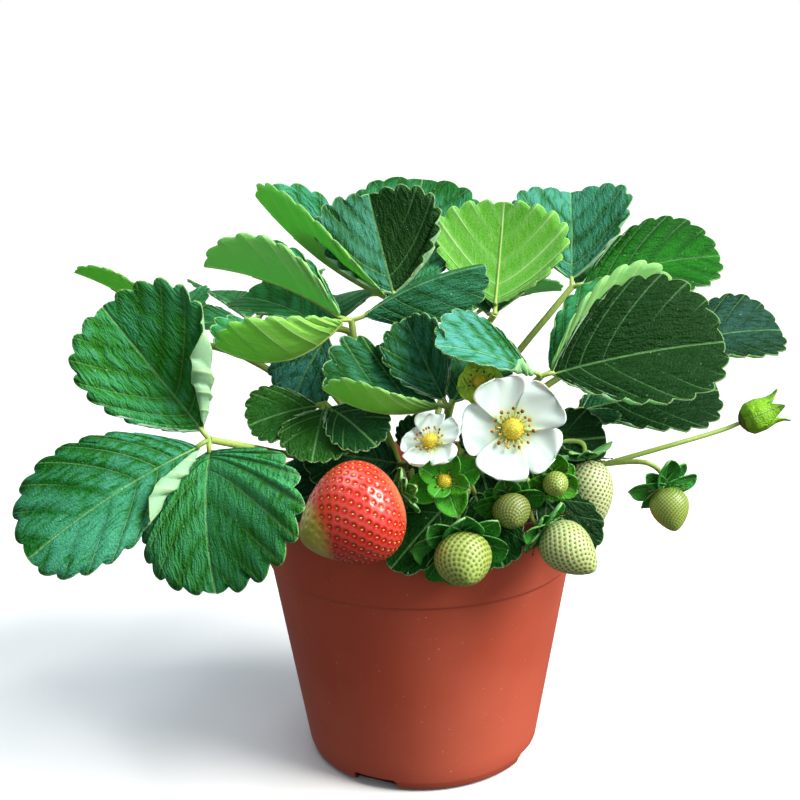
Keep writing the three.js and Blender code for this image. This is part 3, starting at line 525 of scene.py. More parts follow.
def stem_tree():
    """A round stem along a curve, as thick as the curve's own radius says."""
    tree, given = new_tree("stem", Sides="Int", Material="Material")
    round_ring = {"Resolution": given["Sides"], "Radius": 1.0}
    ring = place_node(tree, "GeometryNodeCurvePrimitiveCircle", round_ring)
    swept = place_node(
        tree, "GeometryNodeCurveToMesh",
        {"Curve": given["Geometry"], "Profile Curve": ring.outputs[0], "Fill Caps": True},
    )
    if "Scale" in swept.inputs:
        radius = place_node(tree, "GeometryNodeInputRadius")
        tree.links.new(radius.outputs[0], swept.inputs["Scale"])
    smooth = place_node(tree, "GeometryNodeSetShadeSmooth", {"Geometry": swept.outputs[0]})
    return close_tree(tree, smooth.outputs[0], given)


def random_size(tree, given):
    drawn = {2: given["Smallest"], 3: given["Largest"], 8: given["Seed"]}
    return place_node(tree, "FunctionNodeRandomValue", drawn, data_type="FLOAT").outputs[1]


def copies_at(tree, given, points, turn, size):
    shape = place_node(tree, "GeometryNodeObjectInfo", {"Object": given["Piece"]})
    laid = {"Points": points, "Instance": shape.outputs["Geometry"], "Rotation": turn, "Scale": size}
    return place_node(tree, "GeometryNodeInstanceOnPoints", laid).outputs[0]


def scatter_tree():
    """A copy of a piece at each point, its Z along aim and its X along lie, at the size that grow gives."""
    tree, given = new_tree(
        "scatter", Piece="Object", Smallest="Float", Largest="Float", Seed="Int", Material="Material"
    )
    aim, lie, grow = (
        place_node(tree, "GeometryNodeInputNamedAttribute", {"Name": name}, data_type=kind).outputs[0]
        for name, kind in (("aim", "FLOAT_VECTOR"), ("lie", "FLOAT_VECTOR"), ("grow", "FLOAT"))
    )
    axes = dict(primary_axis="Z", secondary_axis="X")
    turn = place_node(tree, "FunctionNodeAxesToRotation", {0: aim, 1: lie}, **axes)
    size = place_node(tree, "ShaderNodeMath", {0: random_size(tree, given), 1: grow}, operation="MULTIPLY")
    copies = copies_at(tree, given, given["Geometry"], turn.outputs[0], size.outputs[0])
    return close_tree(tree, copies, given)


def strewn_tree():
    """Copies of a piece all over a surface, each along its normal there and leaning a little at random."""
    tree, given = new_tree(
        "strewn", Piece="Object", Density="Float", Smallest="Float", Largest="Float", Lean="Float",
        Seed="Int", Material="Material",
    )
    spots = place_node(
        tree, "GeometryNodeDistributePointsOnFaces",
        {"Mesh": given["Geometry"], "Density": given["Density"], "Seed": given["Seed"]},
    )
    back = place_node(tree, "ShaderNodeMath", {0: given["Lean"], 1: -1.0}, operation="MULTIPLY")
    lean = {0: back.outputs[0], 1: given["Lean"], 8: given["Seed"]}
    tilt = place_node(tree, "FunctionNodeRandomValue", lean, data_type="FLOAT_VECTOR")
    turn = place_node(
        tree, "FunctionNodeRotateRotation",
        {0: spots.outputs["Rotation"], 1: tilt.outputs[0]}, rotation_space="LOCAL",
    )
    points, size = spots.outputs["Points"], random_size(tree, given)
    return close_tree(tree, copies_at(tree, given, points, turn.outputs[0], size), given)


def grown(name, tree, carrier, finish, keep=False, **inputs):
    """The plain mesh that a tree makes of the carrier, as an object of its own."""
    modifier = carrier.modifiers.new("grow", "NODES")
    modifier.node_group = TREES[tree]
    inputs["Material"] = FINISHES[finish]
    for item in TREES[tree].interface.items_tree:
        if item.in_out == "INPUT" and item.name in inputs:
            modifier[item.identifier] = inputs[item.name]
    graph = bpy.context.evaluated_depsgraph_get()
    mesh = bpy.data.meshes.new_from_object(
        carrier.evaluated_get(graph), preserve_all_data_layers=True, depsgraph=graph
    )
    carrier.modifiers.remove(modifier)
    if not keep:
        bpy.data.objects.remove(carrier)
    return new_piece(name, mesh)


def smooth_path(points, steps):
    """Points along a centripetal Catmull-Rom curve, as the CAD's stems follow."""
    points = [np.asarray(p, float) for p in points]
    points = [2 * points[0] - points[1], *points, 2 * points[-1] - points[-2]]
    knots = [0.0]
    for a, b in zip(points, points[1:]):
        knots.append(knots[-1] + max(1e-6, np.linalg.norm(b - a) ** 0.5))
    path = []
    for i in range(1, len(points) - 2):
        for t in np.linspace(knots[i], knots[i + 1], steps, endpoint=False):
            level = points[i - 1 : i + 3]
            times = knots[i - 1 : i + 3]
            for width in (1, 2, 3):
                level = [
                    (level[k] * (times[k + width] - t) + level[k + 1] * (t - times[k]))
                    / (times[k + width] - times[k])
                    for k in range(len(level) - 1)
                ]
            path.append(level[0])
    return path + [points[-2]]


def stem(name, points, radii, sides=10, steps=7):
    """A stem through the points. radii holds its radius at the start and at the end, in millimetres."""
    path = np.array(smooth_path(points, steps)) * MM
    data = bpy.data.curves.new(name, "CURVE")
    data.dimensions = "3D"
    spline = data.splines.new("POLY")
    spline.points.add(len(path) - 1)
    for k, (point, p) in enumerate(zip(spline.points, path)):
        point.co = (*p, 1)
        point.radius = (radii[0] + (radii[1] - radii[0]) * k / (len(path) - 1)) * MM
    return grown(name, "stem", new_piece(name, data), "stalk", Sides=sides)


def point_cloud(name, places, aims, lies, grow=None):
    """Loose points, in millimetres, that tell a scatter tree where its copies go and how they lie."""
    mesh = bpy.data.meshes.new(name)
    mesh.from_pydata((np.asarray(places, float) * MM).tolist(), [], [])
    mark_points(mesh, "aim", "FLOAT_VECTOR", "vector", aims)
    mark_points(mesh, "lie", "FLOAT_VECTOR", "vector", lies)
    mark_points(mesh, "grow", "FLOAT", "value", np.ones(len(places)) if grow is None else grow)
    return new_piece(name, mesh)


def scattered(name, cloud, piece, small, large, seed, finish):
    sizes = dict(Smallest=small, Largest=large)
    return grown(name, "scatter", cloud, finish, Piece=SHAPES[piece], Seed=seed, **sizes)


def down_on(name, carrier, density, length, seed):
    """Fine hairs all over a stem. density is per square millimetre."""
    return grown(
        name, "strewn", carrier, "hair", keep=True, Piece=SHAPES["hair"], Density=density / MM**2,
        Smallest=0.6 * length, Largest=length, Lean=0.5, Seed=seed,
    )


# ---------------------------------------------------------------- turned shapes
def lathe(name, profile, sides, finish, squash=(1, 1, 1)):
    """A closed turned shape. profile holds (radius, height) pairs, and its two ends lie on the axis."""
    turns = even_turns(sides)
    ring = np.stack([np.cos(turns), np.sin(turns), np.zeros(sides)], 1)
    (_, low), *body, (_, high) = profile
    points = np.concatenate([*(ring * r + (0, 0, z) for r, z in body), [(0, 0, low), (0, 0, high)]]) * squash
    bottom, top = len(points) - 2, len(points) - 1
    last = (len(body) - 1) * sides
    faces = [list(face) for face in grid_faces(len(body), sides, closed=True)]
    for k in range(sides):
        after = (k + 1) % sides
        faces.append([bottom, after, k])
        faces.append([top, last + k, last + after])
    return mesh_object(name, points, faces, [finish])


def seated(piece, axes, at):
    """The piece with its X, Y and Z turned along the axes, and moved to its place in millimetres."""
    turn = np.stack(axes, 1)
    places = np.array([v.co[:] for v in piece.data.vertices]) @ turn.T + at * MM
    piece.data.vertices.foreach_set("co", places.ravel())
    piece.data.update()
    return piece


def hidden(piece):
    """Keeps a pattern piece out of the scene. Only its copies are seen."""
    for collection in list(piece.users_collection):
        collection.objects.unlink(piece)
    return piece


def egg(name, size, finish, sides=6):
    """A small egg of size (x, y, z) in millimetres, with its middle at the origin."""
    profile = [(math.sqrt(max(0.0, 1 - h * h)), h) for h in (-1, -0.6, 0.1, 0.7, 1)]
    return hidden(lathe(name, profile, sides, finish, squash=np.array(size) / 2))


def spike(name, radius, finish, sides=3):
    """A thin pointed hair or thread, 1 mm long, that stands on the origin."""
    return hidden(lathe(name, [(0, 0), (radius, 0.0), (radius * 0.55, 0.6), (0, 1.0)], sides, finish))


# ---------------------------------------------------------------- leaflets
WEDGE = 0.85  # how fast a leaflet widens from its base: less is faster
ROUND_END = 0.46  # how blunt its tip is: less is blunter
ACROSS = 12  # grid steps from a midrib to a margin
TOOTH_STEPS = 8  # grid steps from tooth to tooth
TOOTH_HEIGHT, TOOTH_AHEAD = 0.115, 0.3  # a share of the half width, and the share of that towards the tip
TOOTH_LEAN = 0.6  # the share of a tooth that lies on the base side of its point
PLAIN_MARGIN = 0.22  # the share of a margin, from the base, that has no teeth
VEIN_SLANT = 0.95  # how far a side vein runs tipwards for each step outwards
PLEAT, WRINKLE = 0.052, 0.18  # panels' rise as a share of the half width, and cross wrinkles' in millimetres
RIB_SINK = 0.003  # how deep the midrib lies, as a share of the length
BLADE_THICK, VEIN_THICK = 0.38, 0.18
MIDRIB, MIDRIB_DEPTH = (0.85, 0.2), 0.42  # its radii at the base and the tip, and its depth under the skin
NECK = 0.8  # half width where a leaflet leaves its stalk
SIDED = ("width", "wedge", "fold", "cup", "curl", "rolled", "frost", "deep")
PLAIN_LEAFLET = dict(
    width=0.85, fold=20, arch=0.06, wedge=WEDGE, teeth=7, cup=0, curl=0, rolled=0, young=0.0, frost=0.2,
    deep=0.1, lit=0.0, pleats=1.0,
)


def leaflet(tip, faces, **own):
    """One leaflet's shape. Each value named in SIDED may be a pair, for the left and the right half.

    faces is the way that its upper side looks, width a share of its length, and arch how far it bows up.
    fold is the angle that each half rises from flat, cup what its margin adds to that, curl the turn of its
    outer edge and rolled the turn of that edge by the base alone, all in degrees. young shades it towards
    fresh green, frost lays a painted silvery-blue sheen over it, and deep darkens it, as
    a darker green and as painted shade, and below zero lightens its fresh green as painted light. under
    shades its underside towards fresh green, and lit lays painted light over the underside for light that
    shines through it.
    pleats scales the relief between the veins.
    """
    shape = {**PLAIN_LEAFLET, **own, "tip": tip, "faces": faces}
    for key in SIDED:
        if not isinstance(shape[key], tuple):
            shape[key] = (shape[key], shape[key])
    shape.setdefault("under", shape["young"])
    return shape


def outline(s, wedge):
    """A leaflet's half width, as a share of its greatest, at a share s of its length."""
    peak = wedge / (wedge + ROUND_END)
    top = peak**wedge * (1 - peak) ** ROUND_END
    return np.power(np.clip(s, 0, 1), wedge) * np.power(np.clip(1 - s, 0, 1), ROUND_END) / top


def tooth(phase):
    """How far a margin stands out, from 0 in a notch to 1 on the point of a tooth, at each integer."""
    share = (phase + TOOTH_LEAN) % 1.0
    round_side = np.sin(0.5 * math.pi * np.minimum(share / TOOTH_LEAN, 1)) ** 0.55
    short_side = np.cos(0.5 * math.pi * ease(share, TOOTH_LEAN, 1)) ** 0.6
    return np.where(share < TOOTH_LEAN, round_side, short_side)


def margin(shape, hand, length, share, row):
    """One half's toothed edge, as places across and along, its half width and its side veins' starts."""
    s = np.linspace(0, 1, 500)
    half = shape["width"][hand] * length / 2
    x, y = half * outline(s, shape["wedge"][hand]), s * length
    arc = np.concatenate([[0], np.cumsum(np.hypot(np.diff(x), np.diff(y)))])
    x, y = np.interp(share, arc / arc[-1], x), np.interp(share, arc / arc[-1], y)
    front = (y - VEIN_SLANT * x) / length
    dx, dy = np.gradient(x), np.gradient(y)
    size = np.maximum(np.hypot(dx, dy), 1e-6)
    from_base = ease(share, 0.8 * PLAIN_MARGIN, 0.8 * PLAIN_MARGIN + 0.1)
    height = TOOTH_HEIGHT * half * from_base * np.clip((1.02 - share) / 0.12, 0.4, 1)
    out = height * (tooth(row) - 0.6)
    ahead = TOOTH_AHEAD * height * tooth(row)
    x = x + out * dy / size + ahead * dx / size
    y = y - out * dx / size + ahead * dy / size
    return np.maximum(x, NECK * (1 - share) + 0.12), y, half, front


def vein_starts(front, share):
    """Where on the midrib each row starts, as shares of the length, never past the margin's own share."""
    least = 0.1 * share
    starts = (front + least + np.sqrt((front - least) ** 2 + 0.004)) / 2
    starts = starts - starts[0] * (1 - share)
    return np.minimum(starts, share)


def half_blade(shape, hand, edge, begin, share, row, length, drift, chance):
    """One half of a leaflet: places across, along and up from its base, its marks and its relief."""
    x, y, half, _ = edge
    u = (np.arange(ACROSS + 1) / ACROSS) ** 1.4
    lateral = x[:, None] * u
    at = begin + (y[:, None] - begin) * u**1.3
    bulk = (x / half)[:, None]
    angle = shape["fold"][hand] + shape["cup"][hand] * (2 * u - 1) * bulk
    angle = angle + shape["curl"][hand] * ease(u, 0.72, 1) ** 1.5 * bulk
    by_base = ease(share, 0, 0.06) * (1 - ease(share, 0.3, 0.46))
    angle = np.radians(angle + shape["rolled"][hand] * ease(u, 0.66, 0.8) * by_base[:, None])
    turn = (angle[:, 1:] + angle[:, :-1]) / 2
    run = np.diff(lateral, axis=1)
    zero = np.zeros((len(share), 1))
    spread = np.concatenate([zero, np.cumsum(run * np.cos(turn), axis=1)], 1)
    rise = np.concatenate([zero, np.cumsum(run * np.sin(turn), axis=1)], 1)
    rise += 0.045 * half * u**2 * np.sin(5.5 * share + drift[hand])[:, None] * bulk
    t = at / length
    lift = length * shape["arch"] * 4 * t * (1 - t) + rise

    rows = np.broadcast_to(row[:, None], lateral.shape)
    off_vein = np.abs((rows + 0.5) % 1 - 0.5)
    spacing = length * (1 - PLAIN_MARGIN) / shape["teeth"] * 0.75
    by_tip = ease(share, 0.5, 0.8)[:, None] * (1 - 0.8 * u**1.2)
    marks = np.stack([lateral, off_vein * spacing + 0.8 * by_tip**2, x[:, None] - lateral], 2)
    slant = np.hypot(lateral, at - begin)
    tone = np.broadcast_to((shape["young"], shape["frost"][hand], shape["deep"][hand]), marks.shape)
    quilt = np.stack([rows, slant, 0 * rows + 3.7 * chance + 1.9 * hand], 2)
    puff = np.abs(np.sin(math.pi * rows))
    uneven = 0.75 + 0.25 * np.sin(2.3 * np.floor(rows) + drift[2 + hand] + 0.16 * lateral)
    relief = PLEAT * shape["pleats"] * half * (puff**0.7 - 0.55) * uneven
    relief = relief * (u**0.7 * (1 - 0.6 * u**6)) * bulk * (1 - by_tip)
    cross = np.sin(1.9 * slant + 4.1 * np.floor(rows) + drift[hand])
    relief += WRINKLE * puff * cross * (u * (1 - u**4)) * bulk
    return np.stack([spread * (1 if hand == 0 else -1), at, lift], 2), marks, quilt, tone, relief


def leaflet_pieces(name, shape, junction, chance):
    """A leaflet's blade and its midrib. The rows of its grid follow the side veins."""
    junction, tip = np.asarray(junction, float), np.asarray(shape["tip"], float)
    along = unit(tip - junction)
    base = junction + along * min(4, 0.1 * np.linalg.norm(tip - junction))
    length = np.linalg.norm(tip - base)
    up = square_to(shape["faces"], along)
    axes = np.array([np.cross(up, along), along, up])
    step = (1 - PLAIN_MARGIN) / (shape["teeth"] * TOOTH_STEPS)
    share = np.clip(1 - step * np.arange(math.floor(1 / step), -1, -1), 0, 1)
    row = (share - PLAIN_MARGIN) / (1 - PLAIN_MARGIN) * shape["teeth"]
    edges = [margin(shape, hand, length, share, row) for hand in (0, 1)]
    begin = vein_starts(np.mean([edge[3] for edge in edges], axis=0), share)[:, None] * length
    drift = np.random.default_rng(chance).uniform(0, 2 * math.pi, 4)
    left, right = (
        half_blade(shape, hand, edges[hand], begin, share, row, length, drift, chance) for hand in (0, 1)
    )
    grid, marks, quilt, tone, relief = (np.concatenate([a[:, :0:-1], b], 1) for a, b in zip(left, right))
    relief[:, ACROSS] = -RIB_SINK * length
    normals, grid, marks, quilt, tone, relief = faced(up, base + grid @ axes, marks, quilt, tone, relief)
    normals[0], normals[-1] = normals[1], normals[-2]
    grid = grid + normals * relief[..., None]
    by_vein = np.clip(1 - marks[..., 1] / 0.5, 0, 1)
    drop = normals * (BLADE_THICK + VEIN_THICK * by_vein)[..., None]
    back = np.broadcast_to((shape["under"], shape["lit"], 0), grid.shape)
    blade = sheet_solid(name, grid, drop, LEAF_SKINS, leaf=marks, quilt=quilt, tone=tone, back=back)
    middle = grid[:, ACROSS] - normals[:, ACROSS] * MIDRIB_DEPTH
    rib = [junction, *middle[:: max(1, len(middle) // 9)][:-1]]
    return [blade, stem(name + "_midrib", rib, MIDRIB, sides=6, steps=2)]


def leaf(turn, ring, by, junction, *leaflets):
    """A leaf whose stalk stands in the soil at turn degrees from +X and ring millimetres from the middle.

    It passes the points in by and ends at the junction, where the leaflets meet.
    """
    return {"foot": (turn, ring), "by": by, "junction": junction, "leaflets": leaflets}


LEAF_SKINS = ("leaf_upper", "leaf_under")
LEAVES = {
    "leaf_front_left": leaf(
        205, 12.5, [(-20, -18, 110), (-46, -43, 124)], (-65, -62, 134),
        leaflet((-97, -52, 174), (0.1, -1, 0.35), width=(0.85, 1.05), fold=(5, 24), arch=-0.04, teeth=8,
                cup=(8, -4), curl=(-8, 35), rolled=(0, 130), young=0.15, frost=0.4, deep=0, under=0,
                pleats=1.2),
        leaflet((-115, -88, 106), (0.1, -0.75, 0.7), width=(0.62, 0.72), fold=12, arch=0.08, teeth=8,
                cup=(-8, -14), curl=(-10, -15), rolled=(150, 0), frost=0.45, deep=0.25, pleats=1.5),
        leaflet((-62, -84, 93), (-0.3, -0.9, 0.35), width=(1.6, 0.95), wedge=(0.42, 0.75), fold=(12, 10),
                arch=0.1, teeth=8, cup=-8, curl=(-12, -10), young=0.15, frost=0.35, pleats=1.5),
    ),
    "leaf_left": leaf(
        175, 12.5, [(-24, 2, 118), (-62, 8, 146)], (-84, 8, 153),
        leaflet((-121, 8, 178), (-0.2, 0.3, 1), width=0.6, fold=15, young=0.9, lit=0.9),
        leaflet((-104, -20, 140), (-0.3, -0.3, 1), width=0.75, fold=15),
        leaflet((-92, 44, 162), (-0.3, 0.3, 1), width=0.8, fold=18),
    ),
    "leaf_top": leaf(
        95, 7, [(0, 2, 125), (-3, -4, 150)], (-7, -10, 167),
        leaflet((-56, 14, 203), (0.2, 0, 1), width=0.62, fold=45, arch=-0.06, cup=12,
                frost=0.6, under=0.7, lit=0.8, pleats=0.3),
        leaflet((-16, 9, 203), (0, -1, 0.6), width=1.25, fold=25, arch=-0.05, teeth=8, cup=14,
                frost=(0.4, 0), deep=(0.75, 1.0), young=0.05, pleats=2.2),
        leaflet((4, 51, 206), (0, -0.7, 0.8), width=0.68, fold=5, arch=0, frost=0.3, deep=0.4),
    ),
    "leaf_low": leaf(
        235, 7, [(-10, -16, 120), (-20, -22, 148)], (-22, -24, 164),
        leaflet((-71, -16, 182), (0.1, 0.2, 1), width=0.7, fold=(45, 50), cup=10,
                frost=0.5, under=0.2, lit=0.6, pleats=0.3),
        leaflet((-64, -46, 160), (0.1, 0, 1), width=(0.95, 0.75), fold=(55, 50), arch=-0.2, cup=12,
                frost=0.4, under=0.9, lit=0.85, pleats=0.2),
        leaflet((22, -28, 182), (-0.2, -0.4, 1), width=0.7, fold=(-25, -40), cup=-8, deep=0.7),
    ),
    "leaf_bright": leaf(
        56, 12.5, [(12, 10, 125), (20, 0, 150)], (27, -5.5, 162),
        leaflet((32, 15, 199), (0.1, 1, -0.5), width=1.22, fold=-8, teeth=8, cup=-4, young=1.0, pleats=0.25),
        leaflet((40, 42, 168), (0.1, 0.4, 1), width=0.65),
        leaflet((4, 40, 166), (-0.1, 0.4, 1), width=0.65),
    ),
    "leaf_right": leaf(
        322, 12.5, [(18, -12, 118), (32, -28, 136)], (40, -34, 146),
        leaflet((5, -52, 160), (0, -0.6, 1), width=0.8, cup=10, rolled=(130, 0), frost=0.95, under=0.3),
        leaflet((88, -6, 168), (-0.2, 0.3, 1), width=0.7, fold=(45, 50), cup=10,
                frost=0.3, under=0.5, lit=0.3),
        leaflet((98, -38, 157), (0, -0.9, 0.7), width=(0.95, 0.8), fold=(8, 12), teeth=8, cup=-6,
                curl=(-10, 55), young=0.03, frost=0, deep=1.0),
    ),
    "leaf_back_right": leaf(
        34, 12.5, [(22, 10, 125), (48, 14, 158)], (57, 17, 168),
        leaflet((61, 50, 200), (0, -0.7, 0.7), width=1.1, fold=(16, 30), cup=12, frost=(0.6, 0.4),
                deep=(0.3, 0.5)),
        leaflet((109, 12, 179), (-0.1, -0.7, 1), width=0.8, fold=(10, 5), teeth=8, curl=(-8, 30),
                frost=0, deep=0.55, young=0.03, under=0, pleats=1.4),
        leaflet((88, 54, 172), (0, 0.2, 1), width=0.7),
    ),
    "leaf_far_right": leaf(
        14, 12.5, [(34, 10, 122), (70, 22, 142)], (92, 24, 144),
        leaflet((139, 32, 148), (0, -0.8, 1), width=0.75, fold=10, curl=(-8, 40),
                frost=0.15, deep=1.0, lit=0.4),
        leaflet((120, 64, 146), (0, 0.3, 1), width=0.75, fold=18),
        leaflet((80, 66, 148), (0, 0.3, 1), width=0.75, fold=18),
    ),
    "leaf_low_right": leaf(
        352, 12.5, [(28, -8, 112), (44, -12, 126)], (53, -14, 129),
        leaflet((104, -12, 135), (0, -0.75, 0.9), width=0.8, fold=12, cup=8,
                frost=(0.3, 0), deep=(0.6, 1.0)),
        leaflet((60, -40, 131), (0.3, -0.6, 1), width=0.7, fold=12, frost=0.3, deep=0.6),
        leaflet((84, 10, 121), (0.3, 0.3, 1), width=0.7, fold=18),
    ),
    "leaf_middle": leaf(
        285, 12.5, [(4, -24, 112), (8, -36, 128)], (9, -43, 138),
        leaflet((-30, -56, 148), (0, 0, 1), width=(0.75, 1.15), fold=(40, 62), arch=-0.12, cup=10,
                frost=0.3, deep=0.6, under=0.8, lit=0.6, pleats=0.25),
        leaflet((-4, -35, 166), (-0.2, -0.9, 0.2), width=0.95, fold=40, frost=0.4, deep=0.6),
        leaflet((24, -14, 150), (0, -0.6, 1), width=0.95, fold=15, deep=0.7),
    ),
    "leaf_low_left": leaf(
        232, 12.5, [(-14, -22, 112), (-26, -32, 132)], (-31, -38, 139),
        leaflet((-55, -46, 134), (-0.1, -0.7, 0.7), width=0.95, fold=10, young=0.15, frost=0.05, deep=0.85),
        leaflet((-34, -58, 125), (0, -0.8, 0.6), width=1.05, fold=8, young=0.15, frost=0.05, deep=0.85),
        leaflet((-14, -55, 129), (0.2, -0.7, 0.7), width=0.9, fold=10, frost=0.05, deep=0.9),
    ),
    "leaf_hanging": leaf(
        150, 7, [(-16, 6, 130), (-24, 0, 156)], (-30, -4, 158),
        leaflet((-44, -10, 134), (-0.2, -1, 0.3), width=1, fold=10, frost=0.6, deep=0.6),
        leaflet((-64, 20, 166), (-0.2, -0.2, 1), width=0.8, fold=15),
        leaflet((-30, 36, 164), (0, 0.2, 1), width=0.8, fold=15),
    ),
    "leaf_back_left": leaf(
        120, 12.5, [(-26, 26, 120), (-52, 44, 146)], (-64, 50, 152),
        leaflet((-96, 46, 150), (0, -0.3, 1), width=0.75, fold=15, deep=0.4),
        leaflet((-88, 84, 160), (0, 0.4, 1), width=0.75, fold=15, deep=0.4),
        leaflet((-42, 86, 164), (0, 0.4, 1), width=0.75, fold=15, deep=0.4),
    ),
    "leaf_back": leaf(
        80, 12.5, [(8, 30, 118), (18, 60, 146)], (22, 72, 150),
        leaflet((62, 82, 158), (0.2, 0.3, 1), width=0.72, fold=15),
        leaflet((22, 118, 148), (0, 0.5, 1), width=0.8, fold=15),
        leaflet((-18, 90, 156), (0, 0.4, 1), width=0.72, fold=15),
    ),
}
SOIL_TOP = 90
FOOT_DEPTH = 6
UPRIGHT = 5  # the height above the soil that a stem stands upright for
PETIOLE, STALK, PEDICEL = (1.45, 1.15), (1.3, 1.15), (0.9, 0.75)  # radii where a stem starts and ends
LEAF_HAIRS, TRUSS_HAIRS = (0.55, 1.0), (0.8, 0.9)  # how many on a square millimetre, and their length


def stem_from(foot, by):
    turn, ring = math.radians(foot[0]), foot[1]
    x, y = ring * math.cos(turn), ring * math.sin(turn)
    return [(x, y, SOIL_TOP - FOOT_DEPTH), (x, y, SOIL_TOP), (x, y, SOIL_TOP + UPRIGHT), *by]


def make_leaf(name, leaf, chance):
    petiole = stem(name + "_petiole", [*stem_from(leaf["foot"], leaf["by"]), leaf["junction"]], PETIOLE)
    pieces = [down_on(name + "_down", petiole, *LEAF_HAIRS, chance), petiole]
    for k, shape in enumerate(leaf["leaflets"]):
        pieces += leaflet_pieces(f"{name}_{k}", shape, leaf["junction"], 7 * chance + k)
    return join(name + "_blades", pieces[::-1])


# ---------------------------------------------------------------- fruit
# at is the shoulder, where the stalk joins, and axis runs from there to the tip. tint goes from dark, at -1,
# which is painted shade on a berry that sits in the leaves' shade, to cream, at 1, and grain scales the seeds
# and their pits.
RIPE = dict(at=(-7, -67, 117), axis=(-0.9, -0.28, -0.33), length=33, width=32)
UNRIPE = {
    "berry_front": dict(at=(11, -64, 100), axis=(0.15, -0.9, -0.4), length=17, width=18, tint=0.1),
    "berry_front_right": dict(at=(38, -62, 103), axis=(0.7, -0.45, -0.5), length=20, width=16, tint=0.5),
    "berry_small": dict(
        at=(27, -60, 112), axis=(0.1, -0.9, -0.4), length=11, width=12, tint=-0.9, grain=0.62
    ),
    "berry_tiny": dict(at=(41, -58, 118), axis=(0.1, -0.95, -0.1), length=8, width=8, tint=-0.1, grain=0.62),
    "berry_pale": dict(at=(53, -46, 121), axis=(0.15, -0.2, -1), length=22, width=15, tint=0.9),
    "berry_far_right": dict(
        at=(78, -50, 112), axis=(0.15, -0.5, -0.85), length=14, width=12.5, tint=-0.05, grain=0.62
    ),
}
SEED_AREA = 2.0  # square millimetres of an unripe berry's skin to each seed
RIPE_SKIN = dict(
    flesh="ripe", seed_skin="ripe_seed", seeds=400, pit=0.38, seed_size=1.0, net=(150, 190), spread=0.72
)
SEEDED = 0.05, 0.985  # the shares of a berry's length that seeds lie between


def berry_shape(t):
    """A berry's half width, as a share of its greatest, at a share t of the way from its stalk."""
    return np.power(np.sin(math.pi * np.power(np.clip(t, 0, 1), 0.72)), 0.62)


def make_berry(name, spec, flesh, seed_skin, seeds, pit, seed_size, net, spread):
    """A berry with a spiral of seeds in pits. net is its rows and columns, and spread a pit's half width."""
    d = unit(spec["axis"])
    a, b = across_from(d)
    start = np.asarray(spec["at"], float) + 0.3 * d
    width, length = spec["width"] / 2, spec["length"]

    def skin(t, turn, off=0.0):
        r = (width * berry_shape(t) + off)[..., None]
        around = a * r * np.cos(turn)[..., None] + b * r * np.sin(turn)[..., None]
        return start + d * (length * t)[..., None] + around

    t = np.linspace(0, 1, 800)
    band = np.hypot(np.diff(width * berry_shape(t)), np.diff(length * t)) * width * berry_shape(t[1:])
    area = np.concatenate([[0], np.cumsum(band)]) / band.sum()
    seed_t = np.interp((np.arange(seeds) + 0.5) / seeds, area, t)
    seed_turn = np.arange(seeds) * GOLDEN_TURN
    places = skin(seed_t, seed_turn)

    rows, around = net
    row_t = np.interp(np.linspace(0, 1, rows + 2)[1:-1], area * 0.5 + t * 0.5, t)
    tt, rr = np.meshgrid(row_t, even_turns(around), indexing="ij")
    points = skin(tt, rr).reshape(-1, 3)
    gap = np.sqrt(((points[:, None] - places[None]) ** 2).sum(2)).min(1)
    inward = pit * np.exp(-((gap / spread) ** 2))
    points = skin(tt, rr, -inward.reshape(tt.shape)).reshape(-1, 3)
    points = np.concatenate([points, [start, start + d * length]])
    faces = [list(face) for face in grid_faces(rows, around, closed=True)]
    top, tip = rows * around, rows * around + 1
    last = (rows - 1) * around
    for k in range(around):
        after = (k + 1) % around
        faces.append([after, k, top])
        faces.append([last + k, last + after, tip])
    tint = spec.get("tint", 0)
    facts = np.stack([tt.ravel(), 0 * gap + tint, gap / spec.get("grain", 1)], 1)
    facts = np.concatenate([facts, [[0, tint, spread * 2], [1, tint, spread * 2]]])
    body = mesh_object(name + "_flesh", points, faces, [flesh], fruit=facts)

    lies = skin(seed_t + 0.004, seed_turn) - places
    aims = np.cross(lies, skin(seed_t, seed_turn + 0.01) - places)
    aims /= np.linalg.norm(aims, axis=1, keepdims=True)
    outward = places - (start + d * (length * seed_t)[:, None])
    aims *= np.sign((aims * outward).sum(1))[:, None]
    keep = (seed_t > SEEDED[0]) & (seed_t < SEEDED[1])
    sunk = places - aims * (pit * 0.8)
    near_tip = np.clip(1.4 * berry_shape(seed_t), 0.6, 1)
    cloud = point_cloud(name + "_spots", sunk[keep], aims[keep], lies[keep], near_tip[keep])
    pips = scattered(name + "_pips", cloud, "seed", 0.85 * seed_size, 1.05 * seed_size, 3, seed_skin)
    return join(name + "_skin", [body, pips])


def make_unripe(name, spec):
    grain = spec.get("grain", 1)
    skin = 2 * math.pi * (spec["width"] / 2) * spec["length"] * 0.8
    seeds = int(skin / (SEED_AREA * grain**2))
    sizes = dict(pit=0.34 * grain, seed_size=0.78 * grain, spread=0.5 * grain)
    return make_berry(name, spec, "unripe", "green_seed", seeds, net=(84, 110), **sizes)


